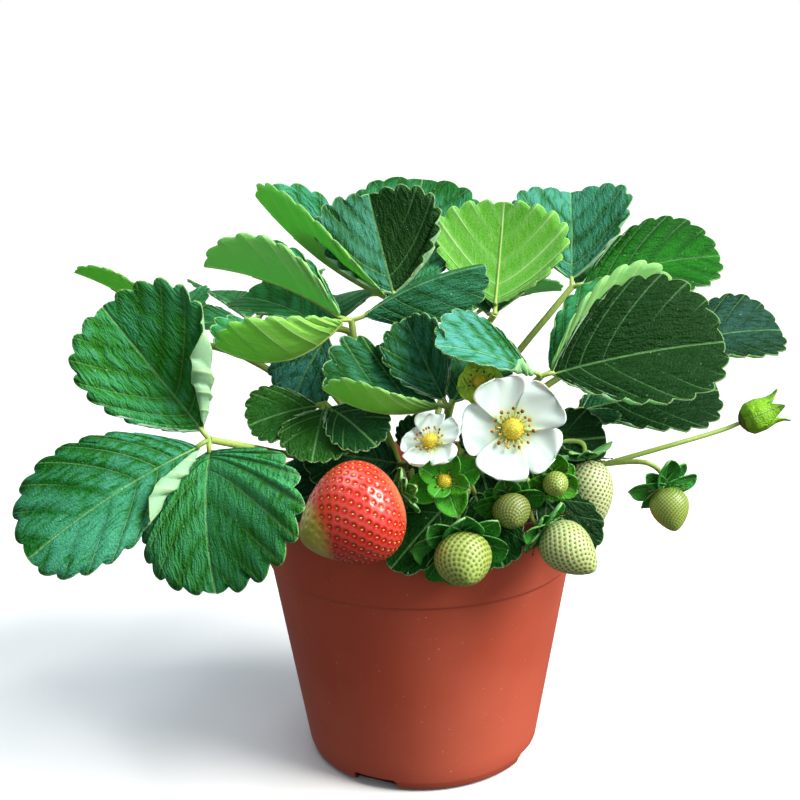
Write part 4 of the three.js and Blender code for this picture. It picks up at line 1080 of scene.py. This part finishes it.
# ---------------------------------------------------------------- flowers
FLOWERS = {
    "flower_front": dict(at=(28, -58, 134.5), axis=(0.02, -0.96, 0.28), reach=16.5, turn=18, radius=3.6),
    "flower_side": dict(at=(3.4, -60, 130.4), axis=(-0.35, -0.6, 0.75), reach=10, turn=20, radius=2.6),
}
SPENT = dict(at=(19, -50, 147), axis=(-0.2, -0.6, 0.75))
YOUNG = dict(at=(7, -62, 119), axis=(-0.1, -0.85, 0.5))
BUD = dict(at=(106, -34, 129), axis=(0.93, 0.1, 0.35))
FULL_SIZE_RADIUS = 3.6  # of the cone in a flower whose anthers are at their full size
PISTILS = 90
OPEN = dict(stamens=22, raise_by=1.7)
WITHERED = dict(radius=2.2, anther_skin="dry_anther", stamens=16, raise_by=1.0)
SETTING = dict(radius=2.3, anther_skin="dry_anther", stamens=14, raise_by=0.8)
PETALS, PETAL_LEAN, PETAL_THICK, SEPAL_THICK = 5, 78, 0.3, 0.35


def lobe_grid(heart, axis, turn, reach, lean, half_width, bend, cup, ruffle, rows, across):
    """A grid over one petal or sepal, and for each point its place across, along and from the edge."""
    a, b = across_from(axis)
    out = a * math.cos(turn) + b * math.sin(turn)
    side = np.cross(axis, out)
    s = np.linspace(0.04, 1, rows)[:, None]
    u = np.linspace(-1, 1, 2 * across + 1)[None]
    half = reach * half_width(s)
    wave = ruffle * np.sin(5 * u + 9 * s + turn) * s**2 * np.abs(u)
    lift = -bend * 4 * s * (1 - s) + cup * half * u**2 + wave
    grid = (
        heart + out * (s * reach * math.sin(lean) + 0 * u)[..., None]
        + axis * (s * reach * math.cos(lean) + lift)[..., None] + side * (half * u)[..., None]
    )
    return grid, np.stack([half * u, s + 0 * u, half * (1 - np.abs(u))], 2)


def petal_width(s):
    return 0.7 * np.power(s, 0.85) * np.sqrt(np.clip(1 - s**5.5, 0, 1)) + 0.012


def make_petals(name, flower):
    """Five petals, which lean and lie by turns in front of and behind each other."""
    d = unit(flower["axis"])
    heart = np.asarray(flower["at"], float) + d * 0.95
    pieces = []
    for i in range(PETALS):
        turn = math.radians(flower["turn"] + 360 / PETALS * i)
        reach = flower["reach"] * (1 - 0.04 * (i % 2))
        lean = math.radians(PETAL_LEAN + (i % 2) * 9)
        layer = heart + d * 0.1 * (i % 3)
        grid, marks = lobe_grid(layer, d, turn, reach, lean, petal_width, 0.02 * reach, 0.16, 1.3, 26, 10)
        normals, grid, marks = faced(d, grid, marks)
        pieces.append(sheet_solid(f"{name}_{i}", grid, normals * PETAL_THICK, ["petal"], leaf=marks))
    return join(name + "_petal_set", pieces)


def make_centre(name, flower, radius, anther_skin, stamens, raise_by):
    """The cone of young seeds in the middle of a flower, and the ring of stamens around it."""
    d = unit(flower["axis"])
    a, b = across_from(d)
    at = np.asarray(flower["at"], float) + d * raise_by
    turn = np.stack([a, b, d], 1)
    profile = [(0, 0), (0.86, 0), (0.93, 0.22), (0.8, 0.58), (0.5, 0.86), (0.2, 0.98), (0, 1)]
    dome = lathe(name + "_dome", [(radius * r, radius * z) for r, z in profile], 28, "dome")
    dome = seated(dome, (a, b, d), at)

    lift = 1 - (np.arange(PISTILS) + 0.5) / PISTILS * 0.85
    turns = np.arange(PISTILS) * GOLDEN_TURN
    flat = np.sqrt(1 - lift**2)
    local = np.stack([0.93 * flat * np.cos(turns), 0.93 * flat * np.sin(turns), lift * 0.98], 1) * radius
    aims = np.stack([flat * np.cos(turns), flat * np.sin(turns), lift], 1) @ turn.T
    cloud = point_cloud(name + "_pistil_spots", local @ turn.T + at, aims, np.tile(a, (PISTILS, 1)))
    pistils = scattered(name + "_pistils", cloud, "pistil", 0.8, 1.1, 5, "pistil")

    rng = np.random.default_rng(11)
    order = np.arange(stamens)
    turns = (order + rng.uniform(-0.2, 0.2, stamens)) * 2 * math.pi / stamens
    reach = radius * np.where(order % 2, 1.42, 1.72) * rng.uniform(0.94, 1.05, stamens)
    rise = radius * np.where(order % 2, 0.95, 0.6) * rng.uniform(0.9, 1.1, stamens)
    foot = np.stack([0.85 * radius * np.cos(turns), 0.85 * radius * np.sin(turns), 0 * turns + 0.1], 1)
    end = np.stack([reach * np.cos(turns), reach * np.sin(turns), rise], 1)
    threads = (end - foot) @ turn.T
    size = np.linalg.norm(threads, axis=1)
    cloud = point_cloud(name + "_threads_spots", foot @ turn.T + at, threads, np.tile(a, (stamens, 1)), size)
    filaments = scattered(name + "_threads", cloud, "filament", 1, 1, 1, "thread")
    cloud = point_cloud(name + "_anther_spots", end @ turn.T + at, threads, np.cross(threads, d))
    small = radius / FULL_SIZE_RADIUS
    anthers = scattered(name + "_anthers", cloud, "anther", 0.85 * small, 1.15 * small, 2, anther_skin)
    return join(name + "_heart", [dome, pistils, filaments, anthers])


# ---------------------------------------------------------------- trusses
# What each stalk ends in, with its ring of sepals. long and wide are a sepal's size, spread the angle that
# it leans out from the axis, and nested how much less every other one leans. opens is the ring's axis where
# it isn't the head's.
HEADS = {
    "berry_front": dict(UNRIPE["berry_front"], long=15.5, wide=9.5, spread=70, count=8, even=True),
    "berry_front_right": dict(UNRIPE["berry_front_right"], long=11, wide=6, spread=88, count=8),
    "berry_small": dict(UNRIPE["berry_small"], long=11, wide=6.5, spread=80, count=8, turn=15),
    "berry_tiny": dict(UNRIPE["berry_tiny"], long=9, wide=6.5, spread=80, count=6, young=0.6, deep=0),
    "berry_pale": dict(UNRIPE["berry_pale"], long=10, wide=5, spread=100, count=8),
    "berry_far_right": dict(
        UNRIPE["berry_far_right"], long=12, wide=6, spread=90, count=8, turn=10, opens=(0.35, -0.8, -0.45)
    ),
    "flower_front": dict(
        FLOWERS["flower_front"], long=11, wide=4, spread=96, count=8, turn=24, young=0.4, deep=0.25
    ),
    "flower_side": dict(FLOWERS["flower_side"], long=8, wide=3.4, spread=92, count=6, turn=0, young=0.6),
    # Painted light: the spent flower's sepals are lightened to yellow-green against the shade they lie in.
    "spent": dict(
        SPENT, opens=(-0.1, -0.9, 0.4), long=7.5, wide=7, spread=74, count=8, turn=10, young=1.0, deep=-1
    ),
    "young": dict(YOUNG, long=12.5, wide=7.5, spread=72, nested=30, count=8, turn=22, young=0.5, deep=0),
    "bud": dict(BUD, long=15, count=5, young=0.95),
    "ripe": dict(RIPE, long=8, wide=3.6, spread=108, count=10, young=0.15),
}
FRONT_FORK, FRONT_END, RIGHT_FORK, LEFT_END = (20, -42, 118), (28, -48, 121), (60, -42, 118), (-3, -44, 121)


def bract(start, tip, faces, width, deep, **own):
    """A small leaf in among the stalks, darkened by a darker green and by painted shade."""
    return start, leaflet(tip, faces, width=width, deep=deep, **{"fold": 10, "teeth": 5, "frost": 0, **own})


# foot and stalk: the main stalk. pedicels: where each leaves it, a point on its way, and what it ends in.
TRUSSES = {
    "truss_front": {
        "foot": (302, 7), "stalk": [(13, -26, 112), FRONT_FORK, FRONT_END],
        "pedicels": [
            (FRONT_FORK, (13, -55, 110), "berry_front"),
            (FRONT_END, (35, -54, 114), "berry_front_right"),
            (FRONT_END, (30, -53, 117), "berry_small"),
            (FRONT_END, (38, -50, 120), "berry_tiny"),
            (FRONT_END, (46, -43, 126), "berry_pale"),
            (FRONT_END, (28, -50, 128), "flower_front"),
            (FRONT_FORK, (9, -51, 124), "flower_side"),
            (FRONT_END, (24, -42, 136), "spent"),
            (FRONT_FORK, (10, -54, 115), "young"),
        ],
        "bracts": [
            bract((14, -50, 114), (-10, -65, 92), (-0.2, -0.9, 0.5), 0.6, 0.8, fold=12),
            bract((16, -50, 114), (25, -65, 92), (0, -0.9, 0.5), 0.8, 0.8, fold=12),
            bract((33, -52, 117), (53, -59, 93), (0.3, -0.9, 0.4), 0.72, 1, fold=12),
            bract((20, -40, 116), (-4, -51, 116), (-0.1, -1, 0.5), 0.9, 1),
            bract((20, -40, 116), (22, -53, 108), (0, -1, 0.5), 1.1, 1),
            bract((28, -44, 120), (50, -48, 114), (0.2, -1, 0.4), 0.9, 1),
            bract((26, -42, 122), (14, -47, 134), (0, -1, 0.3), 0.9, 1),
            bract((30, -42, 124), (60, -42, 127), (0.1, -1, 0.5), 0.75, 1),
            bract((28, -44, 122), (40, -47, 132), (0, -1, 0.3), 0.9, 0.8),
        ],
    },
    "truss_right": {
        "foot": (337, 7), "stalk": [(22, -9.5, 106), (45, -31, 114), RIGHT_FORK],
        "pedicels": [(RIGHT_FORK, (72, -48, 120), "berry_far_right"), (RIGHT_FORK, (84, -40, 124), "bud")],
        "bracts": [],
    },
    "truss_left": {
        "foot": (268, 7), "stalk": [(-4, -26, 116), LEFT_END],
        "pedicels": [(LEFT_END, (-3, -54, 118), "ripe")],
        "bracts": [
            bract((-4, -28, 115), (-38, -40, 124), (-0.1, -1, 0.4), 0.8, 0.8, fold=12, teeth=7, frost=0.2),
            bract((-4, -28, 115), (-45, -38, 105), (-0.1, -1, 0.4), 0.8, 0.9, fold=12, teeth=7, frost=0.2),
            bract((-4, -28, 115), (2, -36, 134), (0, -1, 0.3), 0.8, 0.8, fold=12, teeth=7, frost=0.2),
        ],
    },
}


def sepal_width(share):
    return lambda s: share * np.power(np.sin(math.pi * np.clip(0.18 + 0.82 * s, 0, 1) ** 1.3), 0.6) + 0.008


def sepal_sheet(name, grid, facts, outward, young, deep, chance):
    """One small green blade from a grid of points."""
    along = facts[..., 1] * 0.9
    across = np.abs(facts[..., 0])
    quilt = np.stack([along, 0.4 * across, 0 * along + chance], 2)
    marks = np.stack([across * 1.5, 0 * along + 2, facts[..., 2] + 0.18], 2)
    normals, grid, marks, quilt = faced(outward, grid, marks, quilt)
    # A fixed share of painted sheen, and painted light on the undersides of the younger sepals.
    tone = np.broadcast_to((young, 0.15, deep), grid.shape)
    back = np.broadcast_to((0.3 + 0.7 * young, 0.5 * young, 0), grid.shape)
    drop = normals * SEPAL_THICK
    return sheet_solid(name, grid, drop, LEAF_SKINS, leaf=marks, quilt=quilt, tone=tone, back=back)


def make_calyx(name, head):
    """The ring of green leaves behind a flower or on a fruit's shoulder."""
    d = unit(head.get("opens", head["axis"]))
    heart = np.asarray(head["at"], float) - 0.5 * d
    pieces = []
    for i in range(head["count"]):
        turn = math.radians(head.get("turn", 0) + 360 * i / head["count"])
        reach = head["long"] * (1 if i % 2 == 0 or head.get("even") else 0.84)
        lean = math.radians(head["spread"] + (i % 3) * 6 - (i % 2) * head.get("nested", 0))
        share = head["wide"] / 2 / head["long"] * (1.3 if i % 2 == 0 else 1.05)
        layer = heart + 0.12 * (i % 3) * d
        grid, facts = lobe_grid(layer, d, turn, reach, lean, sepal_width(share), 0.5, 0.5, 0.5, 16, 5)
        young = head.get("young", 0.2) + 0.1 * (i % 3)
        pieces.append(sepal_sheet(f"{name}_{i}", grid, facts, d, young, head.get("deep", 0.1), 0.31 * i))
    return pieces


def dry_stamens(name, head, count=14):
    """The brown threads that stay round a young fruit's shoulder."""
    d = unit(head["axis"])
    a, b = across_from(d)
    rng = np.random.default_rng(len(name) + count)
    turns = (np.arange(count) + rng.uniform(-0.4, 0.4, count)) * 2 * math.pi / count
    around = a * np.cos(turns)[:, None] + b * np.sin(turns)[:, None]
    foot = np.asarray(head["at"], float) + 0.6 * d + around * (head["width"] * 0.36)
    threads = around * rng.uniform(1.8, 3.2, (count, 1)) + d * rng.uniform(-0.2, 1.6, (count, 1))
    size = np.linalg.norm(threads, axis=1)
    cloud = point_cloud(name + "_spots", foot, threads, np.tile(d, (count, 1)), size)
    pieces = [scattered(name, cloud, "filament", 1, 1, 1, "dry_anther")]
    cloud = point_cloud(name + "_tips", foot + threads, threads, np.cross(threads, d))
    return [*pieces, scattered(name + "_anthers", cloud, "anther", 0.5, 0.75, 2, "dry_anther")]


def make_bud_wrap(name, head):
    """Broad sepals that wrap a closed bud like a bell, with their tips free."""
    d = unit(head["axis"])
    a, b = across_from(d)
    foot = np.asarray(head["at"], float)
    s = np.linspace(0, 1, 26)[:, None]
    u = np.linspace(-1, 1, 15)[None]
    bell = np.interp(s, (0, 0.06, 0.22, 0.45, 0.7, 0.88, 1), (0.7, 3.4, 5.35, 5.5, 4.7, 4.9, 5.9))
    half = np.radians(48) * np.interp(s, (0, 0.5, 0.8, 1), (1, 0.92, 0.5, 0.05))
    pieces = []
    for i in range(head["count"]):
        outer = i % 2
        reach = head["long"] * (1 - 0.07 * outer)
        out = bell + 0.3 * outer
        angle = math.radians(360 * i / head["count"]) + half * u
        around = a * np.cos(angle)[..., None] + b * np.sin(angle)[..., None]
        radius = out * (1 + 0.04 * np.cos(3 * angle))
        grid = foot + d * (reach * s + 0 * u)[..., None] + around * radius[..., None]
        width = out * half
        facts = np.stack([width * u, s + 0 * u, width * (1 - np.abs(u)) + 0.1], 2)
        pieces.append(sepal_sheet(f"{name}_{i}", grid, facts, -d, head["young"], -0.4, 0.27 * i))
    return pieces


def make_bud_core():
    d = unit(BUD["axis"])
    profile = rounded([(0, -5.75), (3.4, -4.4), (5.0, 0), (3.4, 4.2), (0, 5.75)], 1.6, 6)
    core = lathe("bud_core", profile, 24, "unripe")
    return seated(core, (*across_from(d), d), np.asarray(BUD["at"]) + 5 * d)


def make_truss(name, truss, chance):
    stalks = [stem(name + "_stalk", stem_from(truss["foot"], truss["stalk"]), STALK)]
    pieces = []
    for start, by, key in truss["pedicels"]:
        head = HEADS[key]
        d = unit(head["axis"])
        back, end = np.array(head["at"]) - 5 * d, np.array(head["at"]) - 0.75 * d
        stalks.append(stem(f"{name}_{key}_pedicel", [start, by, back, end], PEDICEL, sides=8))
        make_sepals = make_bud_wrap if key == "bud" else make_calyx
        pieces += make_sepals(f"{name}_{key}", head)
        if key in UNRIPE:
            pieces += dry_stamens(f"{name}_{key}_dry", head)
        if key == "young":
            pieces.append(make_centre(f"{name}_young", head, **SETTING))
    for k, (start, shape) in enumerate(truss["bracts"]):
        pieces += leaflet_pieces(f"{name}_bract_{k}", shape, start, 90 + k)
    stalks = join(name + "_stalks", stalks)
    down = down_on(name + "_down", stalks, *TRUSS_HAIRS, chance)
    return join(name + "_green", [*pieces, stalks, down])


# ---------------------------------------------------------------- pot, soil and crown
POT_HEIGHT, POT_FOOT_R, POT_RIM_R, POT_WALL = 100, 43, 60, 1.6
COLLAR_FROM, COLLAR_STEP, LIP_HEIGHT, FLOOR_THICK = 73.5, 0.9, 4, 2
DRAIN = dict(count=4, first=-25, width=17, height=4.5)
SHARP_EDGE = 40  # degrees
CRUMBS, GRIT = 0.16, 0.006  # how many on a square millimetre of soil
CROWN_SCALES = 22


def pot_radius(z):
    return POT_FOOT_R + (POT_RIM_R - POT_FOOT_R) * z / POT_HEIGHT


def rounded(profile, radius=0.5, steps=4):
    """The profile with its inner corners turned into short arcs."""
    out = [profile[0]]
    for before, corner, after in zip(profile, profile[1:], profile[2:]):
        before, corner, after = map(np.array, (before, corner, after))
        start = corner + unit(before - corner) * min(radius, np.linalg.norm(before - corner) * 0.45)
        end = corner + unit(after - corner) * min(radius, np.linalg.norm(after - corner) * 0.45)
        for t in np.linspace(0, 1, steps):
            out.append(tuple((1 - t) ** 2 * start + 2 * t * (1 - t) * corner + t**2 * end))
    return [*out, profile[-1]]


def drain_cutter(i):
    """A bar through the wall at the pot's foot, with its upper corners cut off."""
    turn = math.radians(DRAIN["first"] - 90 + 360 * i / DRAIN["count"])
    half, high = DRAIN["width"] / 2, DRAIN["height"]
    side = [(half, -2), (half, high * 0.7), (half * 0.86, high)]
    side += [(-y, z) for y, z in side[::-1]]
    c, s = math.cos(turn), math.sin(turn)
    points = [(x * c - y * s, x * s + y * c, z) for x in (POT_FOOT_R - 6, POT_FOOT_R + 6) for y, z in side]
    n = len(side)
    faces = [list(range(n - 1, -1, -1)), list(range(n, 2 * n))]
    faces += [[k, (k + 1) % n, n + (k + 1) % n, n + k] for k in range(n)]
    return mesh_object(f"drain_{i}", points, faces, ["pot"])


def make_pot():
    below = COLLAR_STEP
    lip = POT_HEIGHT - LIP_HEIGHT
    profile = rounded([
        (0, 0), (POT_FOOT_R - 4, 0), (POT_FOOT_R - 1.4, 1), (pot_radius(4) - below, 4),
        (pot_radius(COLLAR_FROM) - below, COLLAR_FROM), (pot_radius(COLLAR_FROM), COLLAR_FROM + 0.9),
        (pot_radius(lip) - 0.3, lip), (POT_RIM_R, lip + 0.8), (POT_RIM_R, POT_HEIGHT - 0.6),
        (POT_RIM_R - 0.8, POT_HEIGHT), (POT_RIM_R - 2, POT_HEIGHT),
        (pot_radius(lip) - POT_WALL - below, lip),
        (pot_radius(FLOOR_THICK) - POT_WALL - below - 1, FLOOR_THICK), (0, FLOOR_THICK),
    ])
    pot = lathe("pot_shell", profile, 180, "pot")
    cutter = join("drains", [drain_cutter(i) for i in range(DRAIN["count"])])
    cut = pot.modifiers.new("drains", "BOOLEAN")
    cut.operation, cut.object, cut.solver = "DIFFERENCE", cutter, "EXACT"
    graph = bpy.context.evaluated_depsgraph_get()
    mesh = bpy.data.meshes.new_from_object(pot.evaluated_get(graph), depsgraph=graph)
    pot.modifiers.remove(cut)
    pot.data = mesh
    bpy.data.objects.remove(cutter)
    mesh.set_sharp_from_angle(angle=math.radians(SHARP_EDGE))
    return pot


def soil_radius(z):
    return pot_radius(z) - POT_WALL - COLLAR_STEP - 1.0


def lump(x, y):
    return np.sin(0.31 * x + 1.3) * np.cos(0.27 * y + 0.4) + 0.6 * np.sin(0.53 * y - 0.41 * x)


def upper_faces(name, piece, height):
    """A piece of the faces alone that look up and lie above a height in millimetres."""
    mesh = bpy.data.meshes.new(name)
    high = [p for p in piece.data.polygons if p.center[2] > height * MM and p.normal[2] > 0.2]
    mesh.from_pydata([v.co[:] for v in piece.data.vertices], [], [tuple(p.vertices) for p in high])
    return new_piece(name, mesh)


def make_soil():
    """A lumpy bed of peat with crumbs and a little perlite strewn on it."""
    around, rings = 120, 46
    low, high = FLOOR_THICK + 0.4, SOIL_TOP + 1.5
    turns = even_turns(around)
    rough = np.random.default_rng(5).normal(0, 0.28, (rings, around))
    rough[0] = 0
    foot = soil_radius(low) * 0.965
    points = [(0, 0, low), *((foot * math.cos(t), foot * math.sin(t), low) for t in turns)]
    for i, share in enumerate(np.linspace(1, 0, rings + 1)[:-1]):
        r, inward = share * soil_radius(SOIL_TOP), 1 - share
        x, y = r * np.cos(turns), r * np.sin(turns)
        z = SOIL_TOP + 1.5 * min(1, inward * 2) + 0.9 * lump(x, y) * min(1, inward * 6) + rough[i]
        points += list(zip(x, y, z))
    points.append((0, 0, high))
    faces = [[0, 1 + (k + 1) % around, 1 + k] for k in range(around)]
    faces += [list(f) for f in grid_faces(rings + 1, around, start=1, closed=True)]
    last = 1 + rings * around
    faces += [[last + k, last + (k + 1) % around, len(points) - 1] for k in range(around)]
    bed = mesh_object("soil_bed", points, faces, ["soil"])
    top = upper_faces("soil_top", bed, SOIL_TOP - 0.8)
    lying = dict(Piece=SHAPES["crumb"], Smallest=0.5, Lean=1.2)
    crumbs = grown(
        "soil_crumbs", "strewn", top, "soil", keep=True, Density=CRUMBS / MM**2, Largest=1.5, Seed=4, **lying
    )
    grit = grown("soil_grit", "strewn", top, "grit", Density=GRIT / MM**2, Largest=1.1, Seed=9, **lying)
    return join("soil_surface", [bed, crumbs, grit])


def make_crown():
    """The short woody crown, with the brown scales that the old leaves left around it."""
    profile = rounded([(0, 84), (4.5, 84), (5, 92), (4.2, 96), (1.9, 99), (0, 99)], 0.8)
    core = lathe("crown_core", profile, 40, "bark")
    turns = np.arange(CROWN_SCALES) * GOLDEN_TURN
    heights = SOIL_TOP + 1 + 6.0 * np.arange(CROWN_SCALES) / CROWN_SCALES
    radii = np.interp(heights, (90, 92, 96, 99), (4.85, 4.85, 4.0, 1.9))
    out, upright = np.stack([np.cos(turns), np.sin(turns), 0 * turns], 1), np.array([0, 0, 1.0])
    places = out * radii[:, None] + upright * heights[:, None]
    cloud = point_cloud("scale_spots", places, out * 0.25 + upright, out)
    scales = scattered("crown_scales", cloud, "scale", 0.7, 1.0, 6, "bark")
    return join("crown_wood", [core, scales])


# ---------------------------------------------------------------- the object
def fit(piece, node):
    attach(piece, "root")
    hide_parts(node)


make_camera()
make_studio()
FINISHES = {
    "leaf_upper": leaf_upper(), "leaf_under": leaf_under(), "stalk": stalk_finish(), "hair": hair_finish(),
    "ripe": ripe_finish(), "unripe": unripe_finish(), "petal": petal_finish(), "pot": pot_finish(),
    "soil": soil_finish(), "bark": bark_finish(), "floor": floor_finish(),
    "ripe_seed": seed_finish("ripe_seed", "e8c24a", "c98e24"),
    "green_seed": seed_finish("green_seed", "8a7a32", "6a5a26"),
    "dome": pollen_finish("flower_cone", "e8de54", "c6c23e"),
    "pistil": pollen_finish("pistils", "f6d840", "e2b52a"),
    "anther": pollen_finish("anthers", "e0ad33", "6b4014"),
    "thread": pollen_finish("stamen_threads", "ece68e", "d8cf62"),
    "dry_anther": pollen_finish("dry_anthers", "6d4a22", "3e2a16"),
    "grit": pollen_finish("perlite", "cfc8bb", "a69c8c"),
}
TREES = {"stem": stem_tree(), "scatter": scatter_tree(), "strewn": strewn_tree()}
SHAPES = {
    "hair": spike("hair", 0.035, "hair"),
    "filament": spike("filament", 0.09, "dome"),
    "seed": egg("seed", (1.1, 0.66, 0.5), "ripe_seed"),
    "pistil": egg("pistil", (0.42, 0.42, 0.75), "pistil", sides=5),
    "anther": egg("anther", (1.15, 0.75, 1.5), "anther"),
    "crumb": egg("crumb", (1.5, 1.1, 0.9), "soil", sides=5),
    "scale": egg("scale", (0.7, 2.6, 6.0), "bark"),
}

fit(make_pot(), "pot")
fit(make_soil(), "soil")
fit(make_crown(), "crown")
for number, (name, parts) in enumerate(LEAVES.items()):
    fit(make_leaf(name, parts, number + 1), name)
for number, (name, truss) in enumerate(TRUSSES.items()):
    green = make_truss(name, truss, 40 + number)
    if name == "truss_right":
        green = join(green.name, [green, make_bud_core()])
    fit(green, name)
fit(make_berry("berry_ripe", RIPE, **RIPE_SKIN), "berry_ripe")
for name, spec in UNRIPE.items():
    fit(make_unripe(name, spec), name)
for name, flower in FLOWERS.items():
    fit(make_petals(name, flower), name + "_petals")
    heart = make_centre(name, flower, flower["radius"], "anther", **OPEN)
    fit(heart, name + "_centre")
fit(make_centre("spent_flower", SPENT, **WITHERED), "spent_flower_centre")
make_floor()
